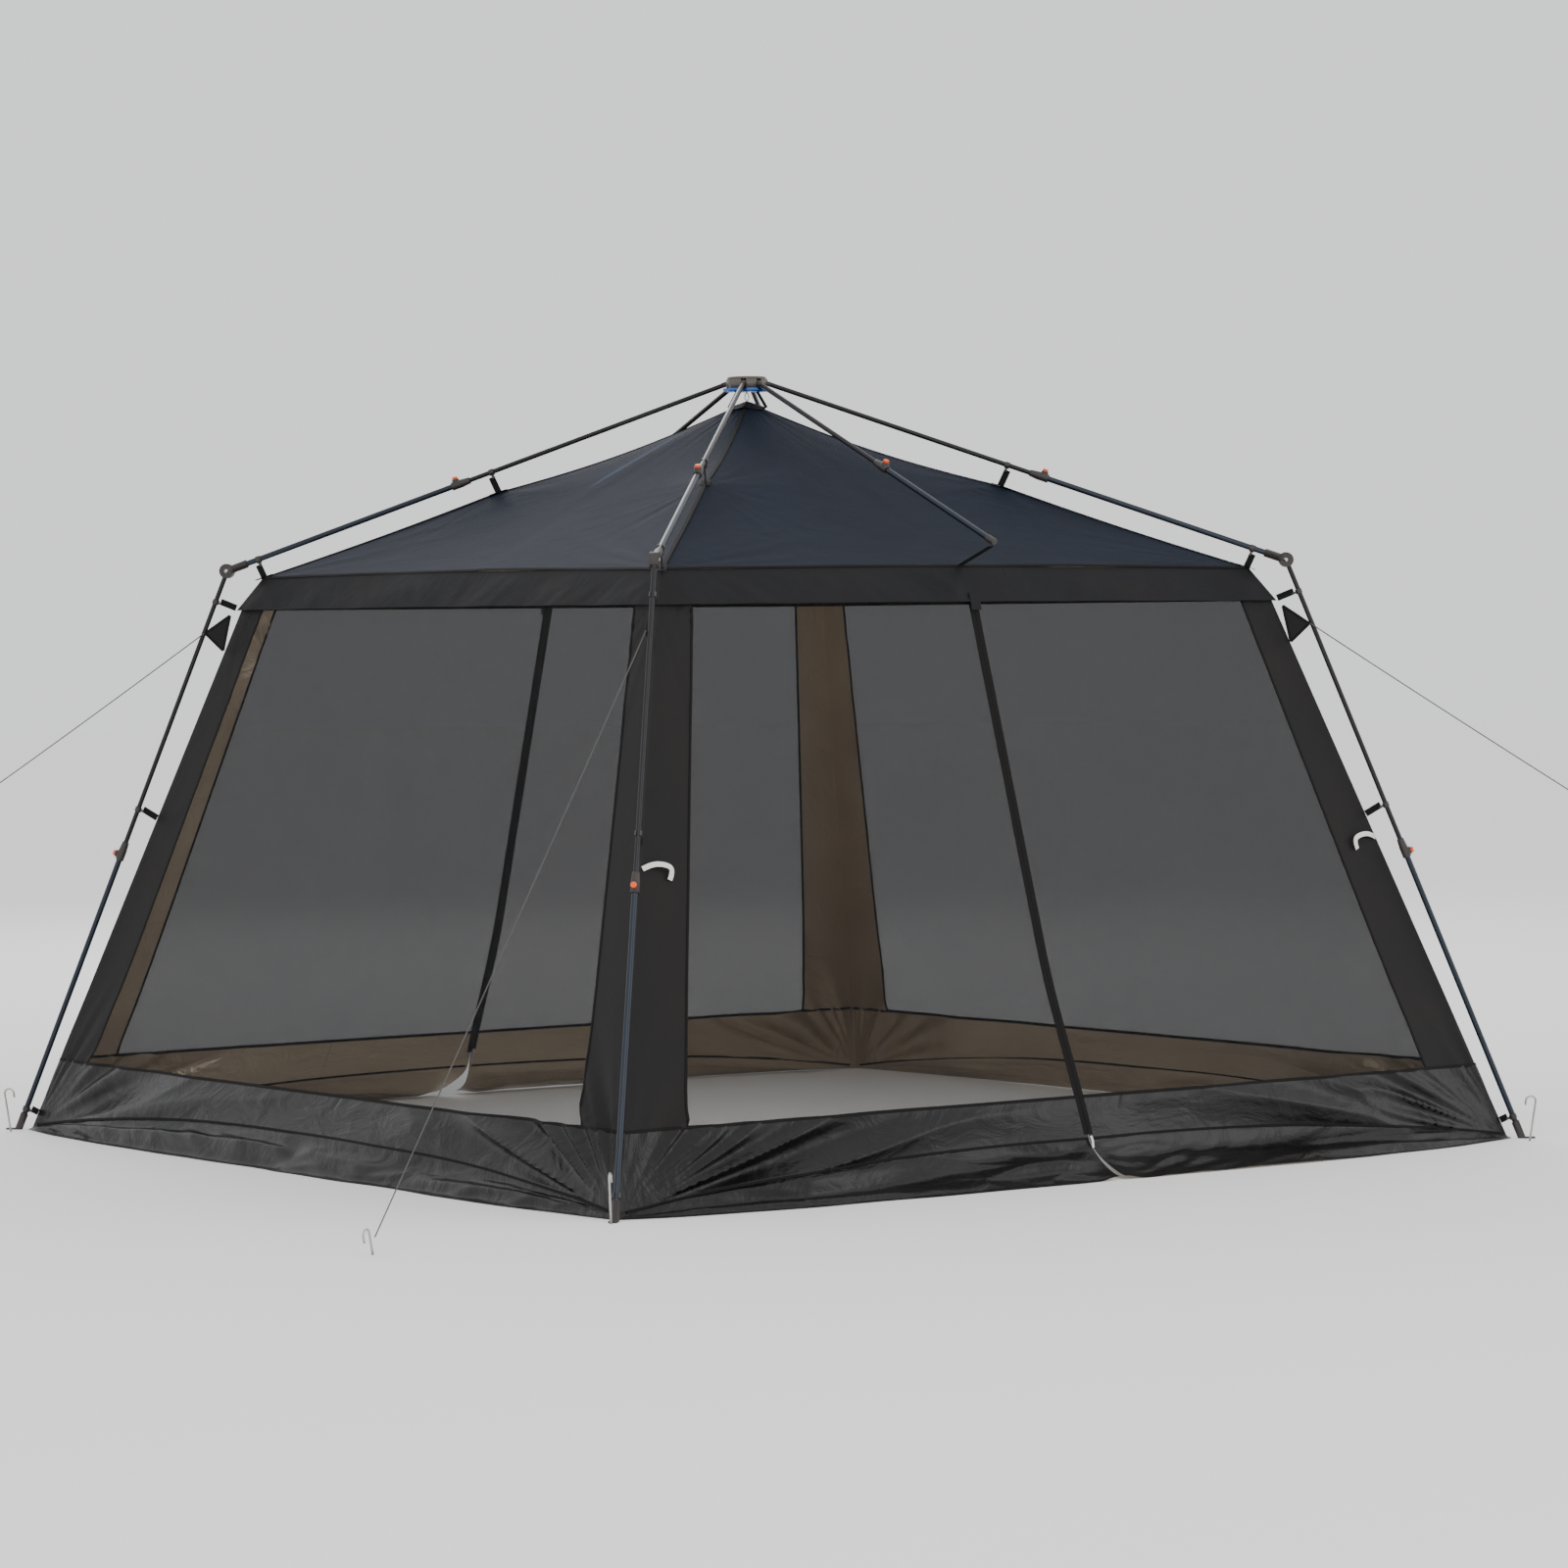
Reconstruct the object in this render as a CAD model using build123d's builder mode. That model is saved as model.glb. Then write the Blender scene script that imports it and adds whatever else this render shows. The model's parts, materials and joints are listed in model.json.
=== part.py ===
from build123d import *
from math import cos, hypot, radians, sin
import os

os.makedirs("parts", exist_ok=True)

# A square screen house, 3.66 m between its feet: an outer umbrella frame of telescoping steel tubes,
# with a polyester and mesh room hung inside it. Millimetres, +Z up, origin on the ground at its middle.
# In an arm's plane, r is the distance from the centre line and z is the height.

# Frame, on the centre lines of its tubes
FOOT_HALF = 1830.0  # from the middle to a foot, along X and along Y
ELBOW_HALF = 1285.0
ELBOW_Z = 1931.5
EAVE_TIP_R = 1331.0
EAVE_TIP_Z = 1988.0

# Tubes
THIN_R = 8.0
THICK_R = 9.5
WALL = 1.0
SLIP = 0.5  # between a thin tube and the thick one that it slides in
TUBE_OVERLAP = 90.0
THIN_BORE_R = THIN_R - WALL
THICK_BORE_R = THIN_R + SLIP
SEAT_GAP = 0.1  # round a tube in its own plastic fitting
PIN_PLAY = 0.05

# Hub
HUB_R = 70.0
HUB_DISC_R = 80.0
HUB_CAP_R = 66.0
HUB_DISC_BOTTOM = 2520.0
HUB_BOTTOM = 2530.0
HUB_TOP = 2562.0
CAP_TOP = 2570.0
PIVOT_R = 52.0
PIVOT_Z = 2552.5
HUB_PIN_R = 3.0
HUB_PIN_HALF = 15.0
SLOT_IN = 38.0
SLOT_WIDTH = 18.0
DISC_SLOT_WIDTH = 21.0
TONGUE_R = 9.0
TONGUE_HALF = 7.0
TONGUE_LENGTH = 34.0
PLUG_LENGTH = 30.0

# Collars and their push buttons, measured along the tube from the button's middle
RAFTER_BUTTON_AT = 1011.0
EAVE_BUTTON_AT = 776.0
LEG_BUTTON_AT = 1052.5
COLLAR_ABOVE = 48.0
COLLAR_TAPER = 30.0
COLLAR_BELOW = 18.0
COLLAR_R = 14.0
COLLAR_NECK_R = 11.0
TUBE_END_ABOVE = 22.0  # how far above the button the thick tube ends
BOSS_R = 12.5
BOSS_OUT = 20.0
BUTTON_R = 9.5
BUTTON_IN = 15.5
BUTTON_OUT = 29.0
BUTTON_PLAY = 0.3
BUTTON_ROUND = 3.0

# Elbows
KNUCKLE_R = 25.0
KNUCKLE_HALF = 14.5
SOCKET_R = 14.0
SOCKET_LENGTH = 75.0
RAFTER_END_BACK = 36.0  # the thick tube ends this far before the elbow's pin
FORK_R = 19.5
FORK_HALF = 9.6
FORK_OPEN = (-36.0, -122.0)  # the way out for the leg, in degrees
FORK_REACH = 45.0
ELBOW_PIN_R = 4.0
PIN_HEAD_R = 7.0
PIN_HEAD = 2.0
HEAD_R = 12.0
HEAD_HALF = 8.5
HEAD_LENGTH = 26.0

# Feet
FOOT_R = 13.0
FOOT_CAP = 60.0
FOOT_FLOOR = 18.0
FOOT_TAB = (44.0, 26.0, 5.0)
FOOT_TAB_HOLE_R = 6.0

# Eave rafter's end cap
TIP_CAP_R = 12.0
TIP_CAP = 34.0

# Fabric: half widths and heights of the room's outline
PEAK_Z = 2483.0
ROOF_HALF = 1197.0
ROOF_Z = 1905.0
BAND_TOP = (1200.0, 1902.0)
BAND_LOW = (1262.0, 1796.0)
WALL_TOP = (1246.0, 1810.0)
WALL_LOW = (1795.0, 3.0)
SKIRT_Z = 235.0
CLOTH = 2.0
SEAM_GAP = 4.0
EDGE_GAP = 0.5
STRIP_TOP = 130.0
STRIP_LOW = 240.0
FLAP = 3.0
FLAP_OUT = {"front": 1955.0, "back": 1955.0, "left": 1885.0, "right": 1885.0}
FLAP_CORNER = (1770.0, 1815.0)
FLAP_STRAIGHT = 600.0
ZIP_WIDTH = 30.0
ZIP_TOP_Z = 1800.0
SLIDER = (12.0, 24.0, 6.0)
PULLER = (9.0, 46.0, 2.0)
SLIDER_Z = {"front": 130.0, "back": 170.0}

# Webbing, cord and pegs
STRAP_WIDTH = 20.0
STRAP_THICK = 1.6
TUBE_CLEAR = 1.0
GUY_R = 2.0
GUY_START = (1898.0, 1718.0)
GUY_BESIDE = 14.0
GUY_LOOP_R = 20.0
GUY_PEG = (-2780.0, -2040.0)
GUY_PEG_TOP = 62.0
PEG_R = 3.5
PEG_BASES = {
    "front_left": (-1874.0, -1874.0),
    "front_right": (1782.0, -1915.0),
    "back_left": (-1893.0, 1768.0),
    "back_right": (1893.0, 1768.0),
}
PEG_HEIGHT = 150.0
PEG_LEAN = 34.0
PEG_HOOK_R = 16.0

CORNERS = {
    "front_left": (-1, -1),
    "front_right": (1, -1),
    "back_left": (-1, 1),
    "back_right": (1, 1),
}
DOORS = {"front": (0, -1), "back": (0, 1)}
SIDES = {**DOORS, "left": (-1, 0), "right": (1, 0)}
GUY_SIDE = {"front_left": -1, "front_right": -1, "back_left": 1, "back_right": 1}

HUB_PIVOT = (PIVOT_R, PIVOT_Z)
ELBOW = (ELBOW_HALF * 2**0.5, ELBOW_Z)
FOOT = (FOOT_HALF * 2**0.5, 0.0)
EAVE_TIP = (EAVE_TIP_R, EAVE_TIP_Z)


def distance(start, end):
    return hypot(end[0] - start[0], end[1] - start[1])


def between(start, end, along):
    """The point (r, z) that lies along mm from start towards end."""
    share = along / distance(start, end)
    return (start[0] + (end[0] - start[0]) * share, start[1] + (end[1] - start[1]) * share)


def arm_plane(outward):
    """The upright plane through the centre line: its x is r and its y is z."""
    out = Vector(*outward, 0).normalized()
    return Plane(origin=(0, 0, 0), x_dir=out, z_dir=Vector(out.Y, -out.X, 0))


def place(arm, point, beside=0.0):
    """A point of an arm's plane in space, moved sideways out of the plane."""
    return arm.from_local_coords(Vector(point[0], point[1], -beside))


def towards(arm, start, end):
    return (place(arm, end) - place(arm, start)).normalized()


def across(arm, start, end, along):
    """The plane square to the line from start to end. Its y points to the frame's outer side."""
    origin = place(arm, between(start, end, along))
    return Plane(origin=origin, x_dir=-arm.z_dir, z_dir=towards(arm, start, end))


def outer_side(arm, start, end, along):
    """The plane on a tube's centre line that faces the frame's outer side."""
    square = across(arm, start, end, along)
    return Plane(origin=square.origin, x_dir=square.z_dir, z_dir=square.y_dir)


def save(shape, label):
    shape.label = label
    export_step(shape, f"parts/{label}.step")


def tube(arm, start, end, first, last, outer, bore):
    """A round tube on the line from start to end, between two distances along it."""
    with BuildPart() as pipe:
        with BuildSketch(across(arm, start, end, first)):
            Circle(outer)
            Circle(bore, mode=Mode.SUBTRACT)
        extrude(amount=last - first)
    return pipe.part


def collar(arm, start, end, button_at):
    """The moulded collar on the thick tube's end, with the boss that guides the push button."""
    first, tube_end = button_at - COLLAR_ABOVE, button_at - TUBE_END_ABOVE
    with BuildPart() as ring:
        with BuildSketch(across(arm, start, end, first)):
            Circle(COLLAR_NECK_R)
        with BuildSketch(across(arm, start, end, first + COLLAR_TAPER)):
            Circle(COLLAR_R)
        loft()
        with BuildSketch(across(arm, start, end, first + COLLAR_TAPER)):
            Circle(COLLAR_R)
        extrude(amount=COLLAR_ABOVE - COLLAR_TAPER + COLLAR_BELOW)
        with BuildSketch(outer_side(arm, start, end, button_at)):
            Circle(BOSS_R)
        extrude(amount=BOSS_OUT)
        with BuildSketch(across(arm, start, end, first)):
            Circle(THICK_BORE_R)
        extrude(amount=COLLAR_ABOVE, mode=Mode.SUBTRACT)
        with BuildSketch(across(arm, start, end, tube_end - SEAT_GAP)):
            Circle(THICK_R + SEAT_GAP)
        extrude(amount=TUBE_END_ABOVE + COLLAR_BELOW + 2 * SEAT_GAP, mode=Mode.SUBTRACT)
        with BuildSketch(outer_side(arm, start, end, button_at)):
            Circle(BUTTON_R + BUTTON_PLAY)
        extrude(amount=BOSS_OUT, mode=Mode.SUBTRACT)
    return ring.part


def button(arm, start, end, button_at):
    """The round push button, clear of its boss, with a rounded outer edge."""
    face = outer_side(arm, start, end, button_at)
    with BuildPart() as knob:
        with BuildSketch(face.offset(BUTTON_IN)):
            Circle(BUTTON_R)
        extrude(amount=BUTTON_OUT - BUTTON_IN)
        fillet(knob.edges().sort_by(Axis(face.origin, face.z_dir))[-1], BUTTON_ROUND)
    return knob.part


def hub_tongue(arm, end):
    """The moulded tongue that pivots in the hub, and its plug in the thin tube's end."""
    with BuildPart() as tongue:
        with BuildSketch(arm):
            with Locations(HUB_PIVOT):
                Circle(TONGUE_R)
        extrude(amount=TONGUE_HALF, both=True)
        with BuildSketch(across(arm, HUB_PIVOT, end, 0)):
            Rectangle(2 * TONGUE_HALF, 2 * THIN_R)
        extrude(amount=TONGUE_LENGTH - SEAT_GAP)
        with BuildSketch(across(arm, HUB_PIVOT, end, TONGUE_LENGTH - SEAT_GAP)):
            Circle(THIN_BORE_R - SEAT_GAP)
        extrude(amount=PLUG_LENGTH)
        with BuildSketch(arm):
            with Locations(HUB_PIVOT):
                Circle(HUB_PIN_R + PIN_PLAY)
        extrude(amount=TONGUE_HALF + 1, both=True, mode=Mode.SUBTRACT)
    return tongue.part


def rafter(arm, end, button_at, thick_end, name, where):
    """A rafter: its thin tube from the hub, its thick tube with the collar, and its button."""
    thin_end = button_at + TUBE_OVERLAP
    thin = tube(arm, HUB_PIVOT, end, TONGUE_LENGTH, thin_end, THIN_R, THIN_BORE_R)
    save(Compound([hub_tongue(arm, end), thin]), f"{name}_inner_{where}")
    first = button_at - TUBE_END_ABOVE
    thick = tube(arm, HUB_PIVOT, end, first, thick_end, THICK_R, THICK_BORE_R)
    solids = [thick, collar(arm, HUB_PIVOT, end, button_at)]
    if name == "eave_rafter":
        solids.append(tip_cap(arm, end, thick_end))
    save(Compound(solids), f"{name}_outer_{where}")
    save(button(arm, HUB_PIVOT, end, button_at), f"{name}_button_{where}")


def tip_cap(arm, end, thick_end):
    """The cap on an eave rafter's end."""
    with BuildPart() as cap:
        with BuildSketch(across(arm, HUB_PIVOT, end, thick_end - TIP_CAP)):
            Circle(TIP_CAP_R)
        extrude(amount=TIP_CAP + 6)
        fillet(cap.edges().sort_by(Axis(cap.part.center(), towards(arm, HUB_PIVOT, end)))[-1], 5)
        with BuildSketch(across(arm, HUB_PIVOT, end, thick_end - TIP_CAP)):
            Circle(THICK_R + SEAT_GAP)
        extrude(amount=TIP_CAP + SEAT_GAP, mode=Mode.SUBTRACT)
    return cap.part


def elbow_bracket(arm):
    """The moulded elbow: a socket for the rafter, and a round knuckle with a fork for the leg."""
    reach = distance(HUB_PIVOT, ELBOW)
    open_from, open_to = FORK_OPEN
    steps = [open_from + (open_to - open_from) * k / 3 for k in range(4)]
    rim = [(ELBOW[0] + FORK_REACH * cos(radians(a)), ELBOW[1] + FORK_REACH * sin(radians(a))) for a in steps]
    with BuildPart() as bracket:
        with BuildSketch(across(arm, HUB_PIVOT, ELBOW, reach - SOCKET_LENGTH)):
            Circle(SOCKET_R)
        extrude(amount=SOCKET_LENGTH - FORK_R)
        with BuildSketch(arm):
            with Locations(ELBOW):
                Circle(KNUCKLE_R)
        extrude(amount=KNUCKLE_HALF, both=True)
        with BuildSketch(across(arm, HUB_PIVOT, ELBOW, reach - SOCKET_LENGTH)):
            Circle(THICK_R + SEAT_GAP)
        extrude(amount=SOCKET_LENGTH - RAFTER_END_BACK + SEAT_GAP, mode=Mode.SUBTRACT)
        with BuildSketch(arm):
            with Locations(ELBOW):
                Circle(FORK_R)
            Polygon(ELBOW, *rim, align=None)
        extrude(amount=FORK_HALF, both=True, mode=Mode.SUBTRACT)
        with BuildSketch(arm):
            with Locations(ELBOW):
                Circle(ELBOW_PIN_R + PIN_PLAY)
        extrude(amount=KNUCKLE_HALF + 1, both=True, mode=Mode.SUBTRACT)
    return bracket.part


def elbow_pin(arm):
    """The rivet through the fork, with a flat head on each side."""
    with BuildPart() as pin:
        with BuildSketch(arm):
            with Locations(ELBOW):
                Circle(ELBOW_PIN_R)
        extrude(amount=KNUCKLE_HALF + PIN_HEAD, both=True)
        for side in (-1, 1):
            with BuildSketch(arm.offset(side * KNUCKLE_HALF)):
                with Locations(ELBOW):
                    Circle(PIN_HEAD_R)
            extrude(amount=side * PIN_HEAD)
    return pin.part


def leg_head(arm):
    """The moulded head that turns in the elbow, and its plug in the leg's thin tube."""
    with BuildPart() as head:
        with BuildSketch(arm):
            with Locations(ELBOW):
                Circle(HEAD_R)
        extrude(amount=HEAD_HALF, both=True)
        with BuildSketch(across(arm, ELBOW, FOOT, 0)):
            Circle(THIN_R)
        extrude(amount=HEAD_LENGTH - SEAT_GAP)
        with BuildSketch(across(arm, ELBOW, FOOT, HEAD_LENGTH - SEAT_GAP)):
            Circle(THIN_BORE_R - SEAT_GAP)
        extrude(amount=PLUG_LENGTH)
        with BuildSketch(arm):
            with Locations(ELBOW):
                Circle(ELBOW_PIN_R + PIN_PLAY)
        extrude(amount=HEAD_HALF + 1, both=True, mode=Mode.SUBTRACT)
    return head.part


def foot(arm):
    """The cap on a leg's end, cut flat on the ground, with a ring tab for the peg's webbing."""
    length = distance(ELBOW, FOOT)
    outward = arm.x_dir
    tab_middle = place(arm, FOOT) + outward * (FOOT_TAB[0] / 2)
    hole_middle = place(arm, FOOT) + outward * (FOOT_TAB[0] - 12)
    with BuildPart() as cap:
        with BuildSketch(across(arm, ELBOW, FOOT, length - FOOT_CAP)):
            Circle(FOOT_R)
        extrude(amount=FOOT_CAP + 30)
        split(bisect_by=Plane.XY, keep=Keep.TOP)
        with BuildSketch(Plane(origin=tab_middle, x_dir=outward, z_dir=(0, 0, 1))):
            RectangleRounded(FOOT_TAB[0], FOOT_TAB[1], 8)
        extrude(amount=FOOT_TAB[2])
        with BuildSketch(across(arm, ELBOW, FOOT, length - FOOT_CAP)):
            Circle(THICK_R + SEAT_GAP)
        extrude(amount=FOOT_CAP - FOOT_FLOOR + SEAT_GAP, mode=Mode.SUBTRACT)
        with BuildSketch(Plane(origin=hole_middle, x_dir=outward, z_dir=(0, 0, 1))):
            Circle(FOOT_TAB_HOLE_R)
        extrude(amount=FOOT_TAB[2] + 1, mode=Mode.SUBTRACT)
    return cap.part


def leg(arm, where):
    """A leg: its thin tube and head, its thick tube with the collar, its button and its foot."""
    length = distance(ELBOW, FOOT)
    thin_end = LEG_BUTTON_AT + TUBE_OVERLAP
    thin = tube(arm, ELBOW, FOOT, HEAD_LENGTH, thin_end, THIN_R, THIN_BORE_R)
    save(Compound([leg_head(arm), thin]), f"leg_upper_{where}")
    first, last = LEG_BUTTON_AT - TUBE_END_ABOVE, length - FOOT_FLOOR
    thick = tube(arm, ELBOW, FOOT, first, last, THICK_R, THICK_BORE_R)
    save(Compound([thick, collar(arm, ELBOW, FOOT, LEG_BUTTON_AT)]), f"leg_lower_{where}")
    save(button(arm, ELBOW, FOOT, LEG_BUTTON_AT), f"leg_button_{where}")
    save(foot(arm), f"leg_foot_{where}")


# --- hub ---------------------------------------------------------------------------------------

ARMS = {where: arm_plane(way) for where, way in {**CORNERS, **DOORS}.items()}
ARM_ANGLES = [45, 90, 135, 225, 270, 315]


def hub_plate(bottom, top, radius, slot_width):
    """A round plate of the hub with a slot for each rafter's tongue."""
    slot_length = radius + 10 - SLOT_IN
    with BuildPart() as plate:
        with BuildSketch(Plane.XY.offset(bottom)):
            Circle(radius)
            for angle in ARM_ANGLES:
                with PolarLocations(SLOT_IN + slot_length / 2, 1, start_angle=angle):
                    Rectangle(slot_length, slot_width, mode=Mode.SUBTRACT)
        extrude(amount=top - bottom)
    return plate.part


with BuildPart() as hub_body:
    add(hub_plate(HUB_BOTTOM, HUB_TOP, HUB_R, SLOT_WIDTH))
    for arm in ARMS.values():
        with BuildSketch(arm):
            with Locations(HUB_PIVOT):
                Circle(HUB_PIN_R + PIN_PLAY)
        extrude(amount=HUB_PIN_HALF + PIN_PLAY, both=True, mode=Mode.SUBTRACT)
save(hub_body.part, "hub_body")

save(hub_plate(HUB_DISC_BOTTOM, HUB_BOTTOM, HUB_DISC_R, DISC_SLOT_WIDTH), "hub_disc")

with BuildPart() as hub_cap:
    with BuildSketch(Plane.XY.offset(HUB_TOP)):
        Circle(HUB_CAP_R)
    extrude(amount=CAP_TOP - HUB_TOP)
    fillet(hub_cap.edges().sort_by(Axis.Z)[-1], 6)
save(hub_cap.part, "hub_cap")

with BuildPart() as hub_pins:
    for arm in ARMS.values():
        with BuildSketch(arm):
            with Locations(HUB_PIVOT):
                Circle(HUB_PIN_R)
        extrude(amount=HUB_PIN_HALF, both=True)
save(hub_pins.part, "hub_pins")

# --- rafters, elbows and legs --------------------------------------------------------------------

for where in CORNERS:
    arm = ARMS[where]
    rafter_end = distance(HUB_PIVOT, ELBOW) - RAFTER_END_BACK
    rafter(arm, ELBOW, RAFTER_BUTTON_AT, rafter_end, "rafter", where)
    save(Compound([elbow_bracket(arm), elbow_pin(arm)]), f"elbow_{where}")
    leg(arm, where)

for where in DOORS:
    tip_at = distance(HUB_PIVOT, EAVE_TIP)
    rafter(ARMS[where], EAVE_TIP, EAVE_BUTTON_AT, tip_at, "eave_rafter", where)

# --- fabric ----------------------------------------------------------------------------------------


def slope_plane(outward, low, high):
    """The plane of one side's cloth from its low edge (half width, z), facing outwards, y up the slope."""
    out = Vector(*outward, 0)
    up = (out * (high[0] - low[0]) + Vector(0, 0, high[1] - low[1])).normalized()
    lateral = Vector(-out.Y, out.X, 0)
    origin = out * low[0] + Vector(0, 0, low[1])
    return Plane(origin=origin, x_dir=lateral, z_dir=lateral.cross(up))


def wall_half(z):
    share = (z - WALL_LOW[1]) / (WALL_TOP[1] - WALL_LOW[1])
    return WALL_LOW[0] + (WALL_TOP[0] - WALL_LOW[0]) * share


def wall_up(z):
    """How far up the slope of the wall a height is."""
    share = (z - WALL_LOW[1]) / (WALL_TOP[1] - WALL_LOW[1])
    return share * distance(WALL_LOW, WALL_TOP)


def strip_width(z):
    return STRIP_LOW + (STRIP_TOP - STRIP_LOW) * (z - WALL_LOW[1]) / (WALL_TOP[1] - WALL_LOW[1])


def cloth_panel(plane, points):
    """A flat panel of cloth, its thickness inwards."""
    with BuildPart() as panel:
        with BuildSketch(plane):
            Polygon(*points, align=None)
        extrude(amount=-CLOTH)
    return panel.part


def wall_panel(side, low, high, inner, outer):
    """A wall panel between two heights; inner and outer give its edges' distances from the middle at a height."""
    plane = slope_plane(SIDES[side], WALL_LOW, WALL_TOP)
    up_low, up_high = wall_up(low), wall_up(high)
    return [
        cloth_panel(
            plane,
            [
                (hand * inner(low), up_low),
                (hand * outer(low), up_low),
                (hand * outer(high), up_high),
                (hand * inner(high), up_high),
            ],
        )
        for hand in (-1, 1)
    ]


def corner_edge(z):
    return wall_half(z) - SEAM_GAP


def strip_edge(z):
    return wall_half(z) - strip_width(z)


def mesh_edge(z):
    return strip_edge(z) - EDGE_GAP


def zip_edge(z):
    return ZIP_WIDTH / 2 + EDGE_GAP


def full_panel(side, low, high, outer):
    """A wall panel in one piece from edge to edge."""
    plane = slope_plane(SIDES[side], WALL_LOW, WALL_TOP)
    up_low, up_high = wall_up(low), wall_up(high)
    points = [(-outer(low), up_low), (outer(low), up_low), (outer(high), up_high), (-outer(high), up_high)]
    return cloth_panel(plane, points)


gores, bands, strips, skirts, zips = [], [], [], [], []
roof_low, roof_high = (ROOF_HALF, ROOF_Z), (0.0, PEAK_Z)
for side, outward in SIDES.items():
    roof_plane = slope_plane(outward, roof_low, roof_high)
    roof_up = distance(roof_low, roof_high) - 2 * SEAM_GAP
    gores.append(cloth_panel(roof_plane, [(SEAM_GAP - ROOF_HALF, 0), (ROOF_HALF - SEAM_GAP, 0), (0, roof_up)]))

    band_plane = slope_plane(outward, BAND_LOW, BAND_TOP)
    band_up = distance(BAND_LOW, BAND_TOP)
    low, high = BAND_LOW[0] - SEAM_GAP, BAND_TOP[0] - SEAM_GAP
    bands.append(cloth_panel(band_plane, [(-low, 0), (low, 0), (high, band_up), (-high, band_up)]))

    wall_low_z, wall_top_z = WALL_LOW[1] + EDGE_GAP, WALL_TOP[1]
    strips += wall_panel(side, SKIRT_Z + EDGE_GAP, wall_top_z, strip_edge, corner_edge)
    if side in DOORS:
        mesh = wall_panel(side, SKIRT_Z + EDGE_GAP, wall_top_z, zip_edge, mesh_edge)
        save(Compound(mesh), f"wall_mesh_{side}")
        skirts += wall_panel(side, wall_low_z, SKIRT_Z, zip_edge, corner_edge)
        wall_plane = slope_plane(outward, WALL_LOW, WALL_TOP)
        half, low_up, top_up = ZIP_WIDTH / 2, wall_up(wall_low_z), wall_up(ZIP_TOP_Z)
        zips.append(cloth_panel(wall_plane, [(-half, low_up), (half, low_up), (half, top_up), (-half, top_up)]))
    else:
        save(full_panel(side, SKIRT_Z + EDGE_GAP, wall_top_z, mesh_edge), f"wall_mesh_{side}")
        skirts.append(full_panel(side, wall_low_z, SKIRT_Z, corner_edge))

    lateral = Vector(-outward[1], outward[0], 0)
    with BuildPart() as flap:
        with BuildSketch(Plane(origin=(0, 0, 0), x_dir=lateral, z_dir=(0, 0, 1))):
            edge = [
                (FLAP_CORNER[0], -WALL_LOW[0]),
                (FLAP_CORNER[0], -FLAP_CORNER[1]),
                (FLAP_STRAIGHT, -FLAP_OUT[side]),
            ]
            Polygon(*edge, *[(-x, y) for x, y in reversed(edge)], align=None)
        extrude(amount=FLAP)
    skirts.append(flap.part)

save(Compound(gores), "roof_canopy")
save(Compound(bands), "eave_band")
save(Compound(strips), "corner_strips")
save(Compound(skirts), "skirt")
save(Compound(zips), "door_zips")

for side, outward in DOORS.items():
    wall_plane = slope_plane(outward, WALL_LOW, WALL_TOP)
    up = wall_up(SLIDER_Z[side])
    with BuildPart() as slider:
        with BuildSketch(wall_plane.offset(EDGE_GAP)):
            with Locations((0, up)):
                RectangleRounded(SLIDER[0], SLIDER[1], 3)
        extrude(amount=SLIDER[2])
        with BuildSketch(wall_plane.offset(EDGE_GAP + SLIDER[2])):
            with Locations((0, up - PULLER[1] / 2 + SLIDER[1] / 4)):
                RectangleRounded(PULLER[0], PULLER[1], 3)
        extrude(amount=PULLER[2])
    save(slider.part, f"zip_slider_{side}")

# --- webbing, tabs, cords and pegs ---------------------------------------------------------------------


def strap(arm, start, end, size=(STRAP_THICK, STRAP_WIDTH)):
    """A flat strap of webbing from start to end. size is measured across the arm's plane and within it."""
    with BuildPart() as webbing:
        with BuildSketch(across(arm, start, end, 0)):
            Rectangle(*size)
        extrude(amount=distance(start, end))
    return webbing.part


def under_rafter(r):
    """The point just under a corner rafter at distance r."""
    share = (r - PIVOT_R) / (ELBOW[0] - PIVOT_R)
    return (r, PIVOT_Z + (ELBOW_Z - PIVOT_Z) * share - THICK_R - TUBE_CLEAR - 1)


def inside_leg(z):
    """The point just inside a leg at height z."""
    share = (ELBOW_Z - z) / ELBOW_Z
    return (ELBOW[0] + (FOOT[0] - ELBOW[0]) * share - THICK_R - TUBE_CLEAR - 1, z)


def over_ridge(r):
    """The point just over the roof's ridge at distance r."""
    return (r, PEAK_Z - (PEAK_Z - ROOF_Z) * r / (ROOF_HALF * 2**0.5) + STRAP_THICK)


def outside_corner(z):
    return (wall_half(z) * 2**0.5 + STRAP_THICK, z)


straps, tabs = [], []
for where in CORNERS:
    arm = ARMS[where]
    straps += [
        strap(arm, under_rafter(885), over_ridge(861)),
        strap(arm, under_rafter(1706), over_ridge(1686)),
        strap(arm, inside_leg(1826), (BAND_LOW[0] * 2**0.5 + STRAP_THICK, BAND_LOW[1] + 4)),
        strap(arm, inside_leg(1112), outside_corner(1082)),
        strap(arm, inside_leg(72), outside_corner(60)),
    ]
    with BuildPart() as tab:
        beside = arm.offset(-GUY_SIDE[where] * GUY_BESIDE)
        with BuildSketch(beside):
            Polygon((1806, 1778), (1832, 1658), (GUY_START[0] - 4, GUY_START[1]), align=None)
        extrude(amount=CLOTH / 2, both=True)
    tabs.append(tab.part)
for where in DOORS:
    start = (EAVE_TIP[0] - 14, EAVE_TIP[1] - TIP_CAP_R - 4)
    straps.append(strap(ARMS[where], start, (ROOF_HALF + 2, ROOF_Z + 6), (STRAP_WIDTH, STRAP_THICK)))
with BuildPart() as hub_loop:
    with BuildSketch(Plane.XY.offset(PEAK_Z + 2)):
        Circle(3)
    extrude(amount=HUB_DISC_BOTTOM - PEAK_Z - 2 - EDGE_GAP)
straps.append(hub_loop.part)
save(Compound(straps), "hanging_straps")
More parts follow.
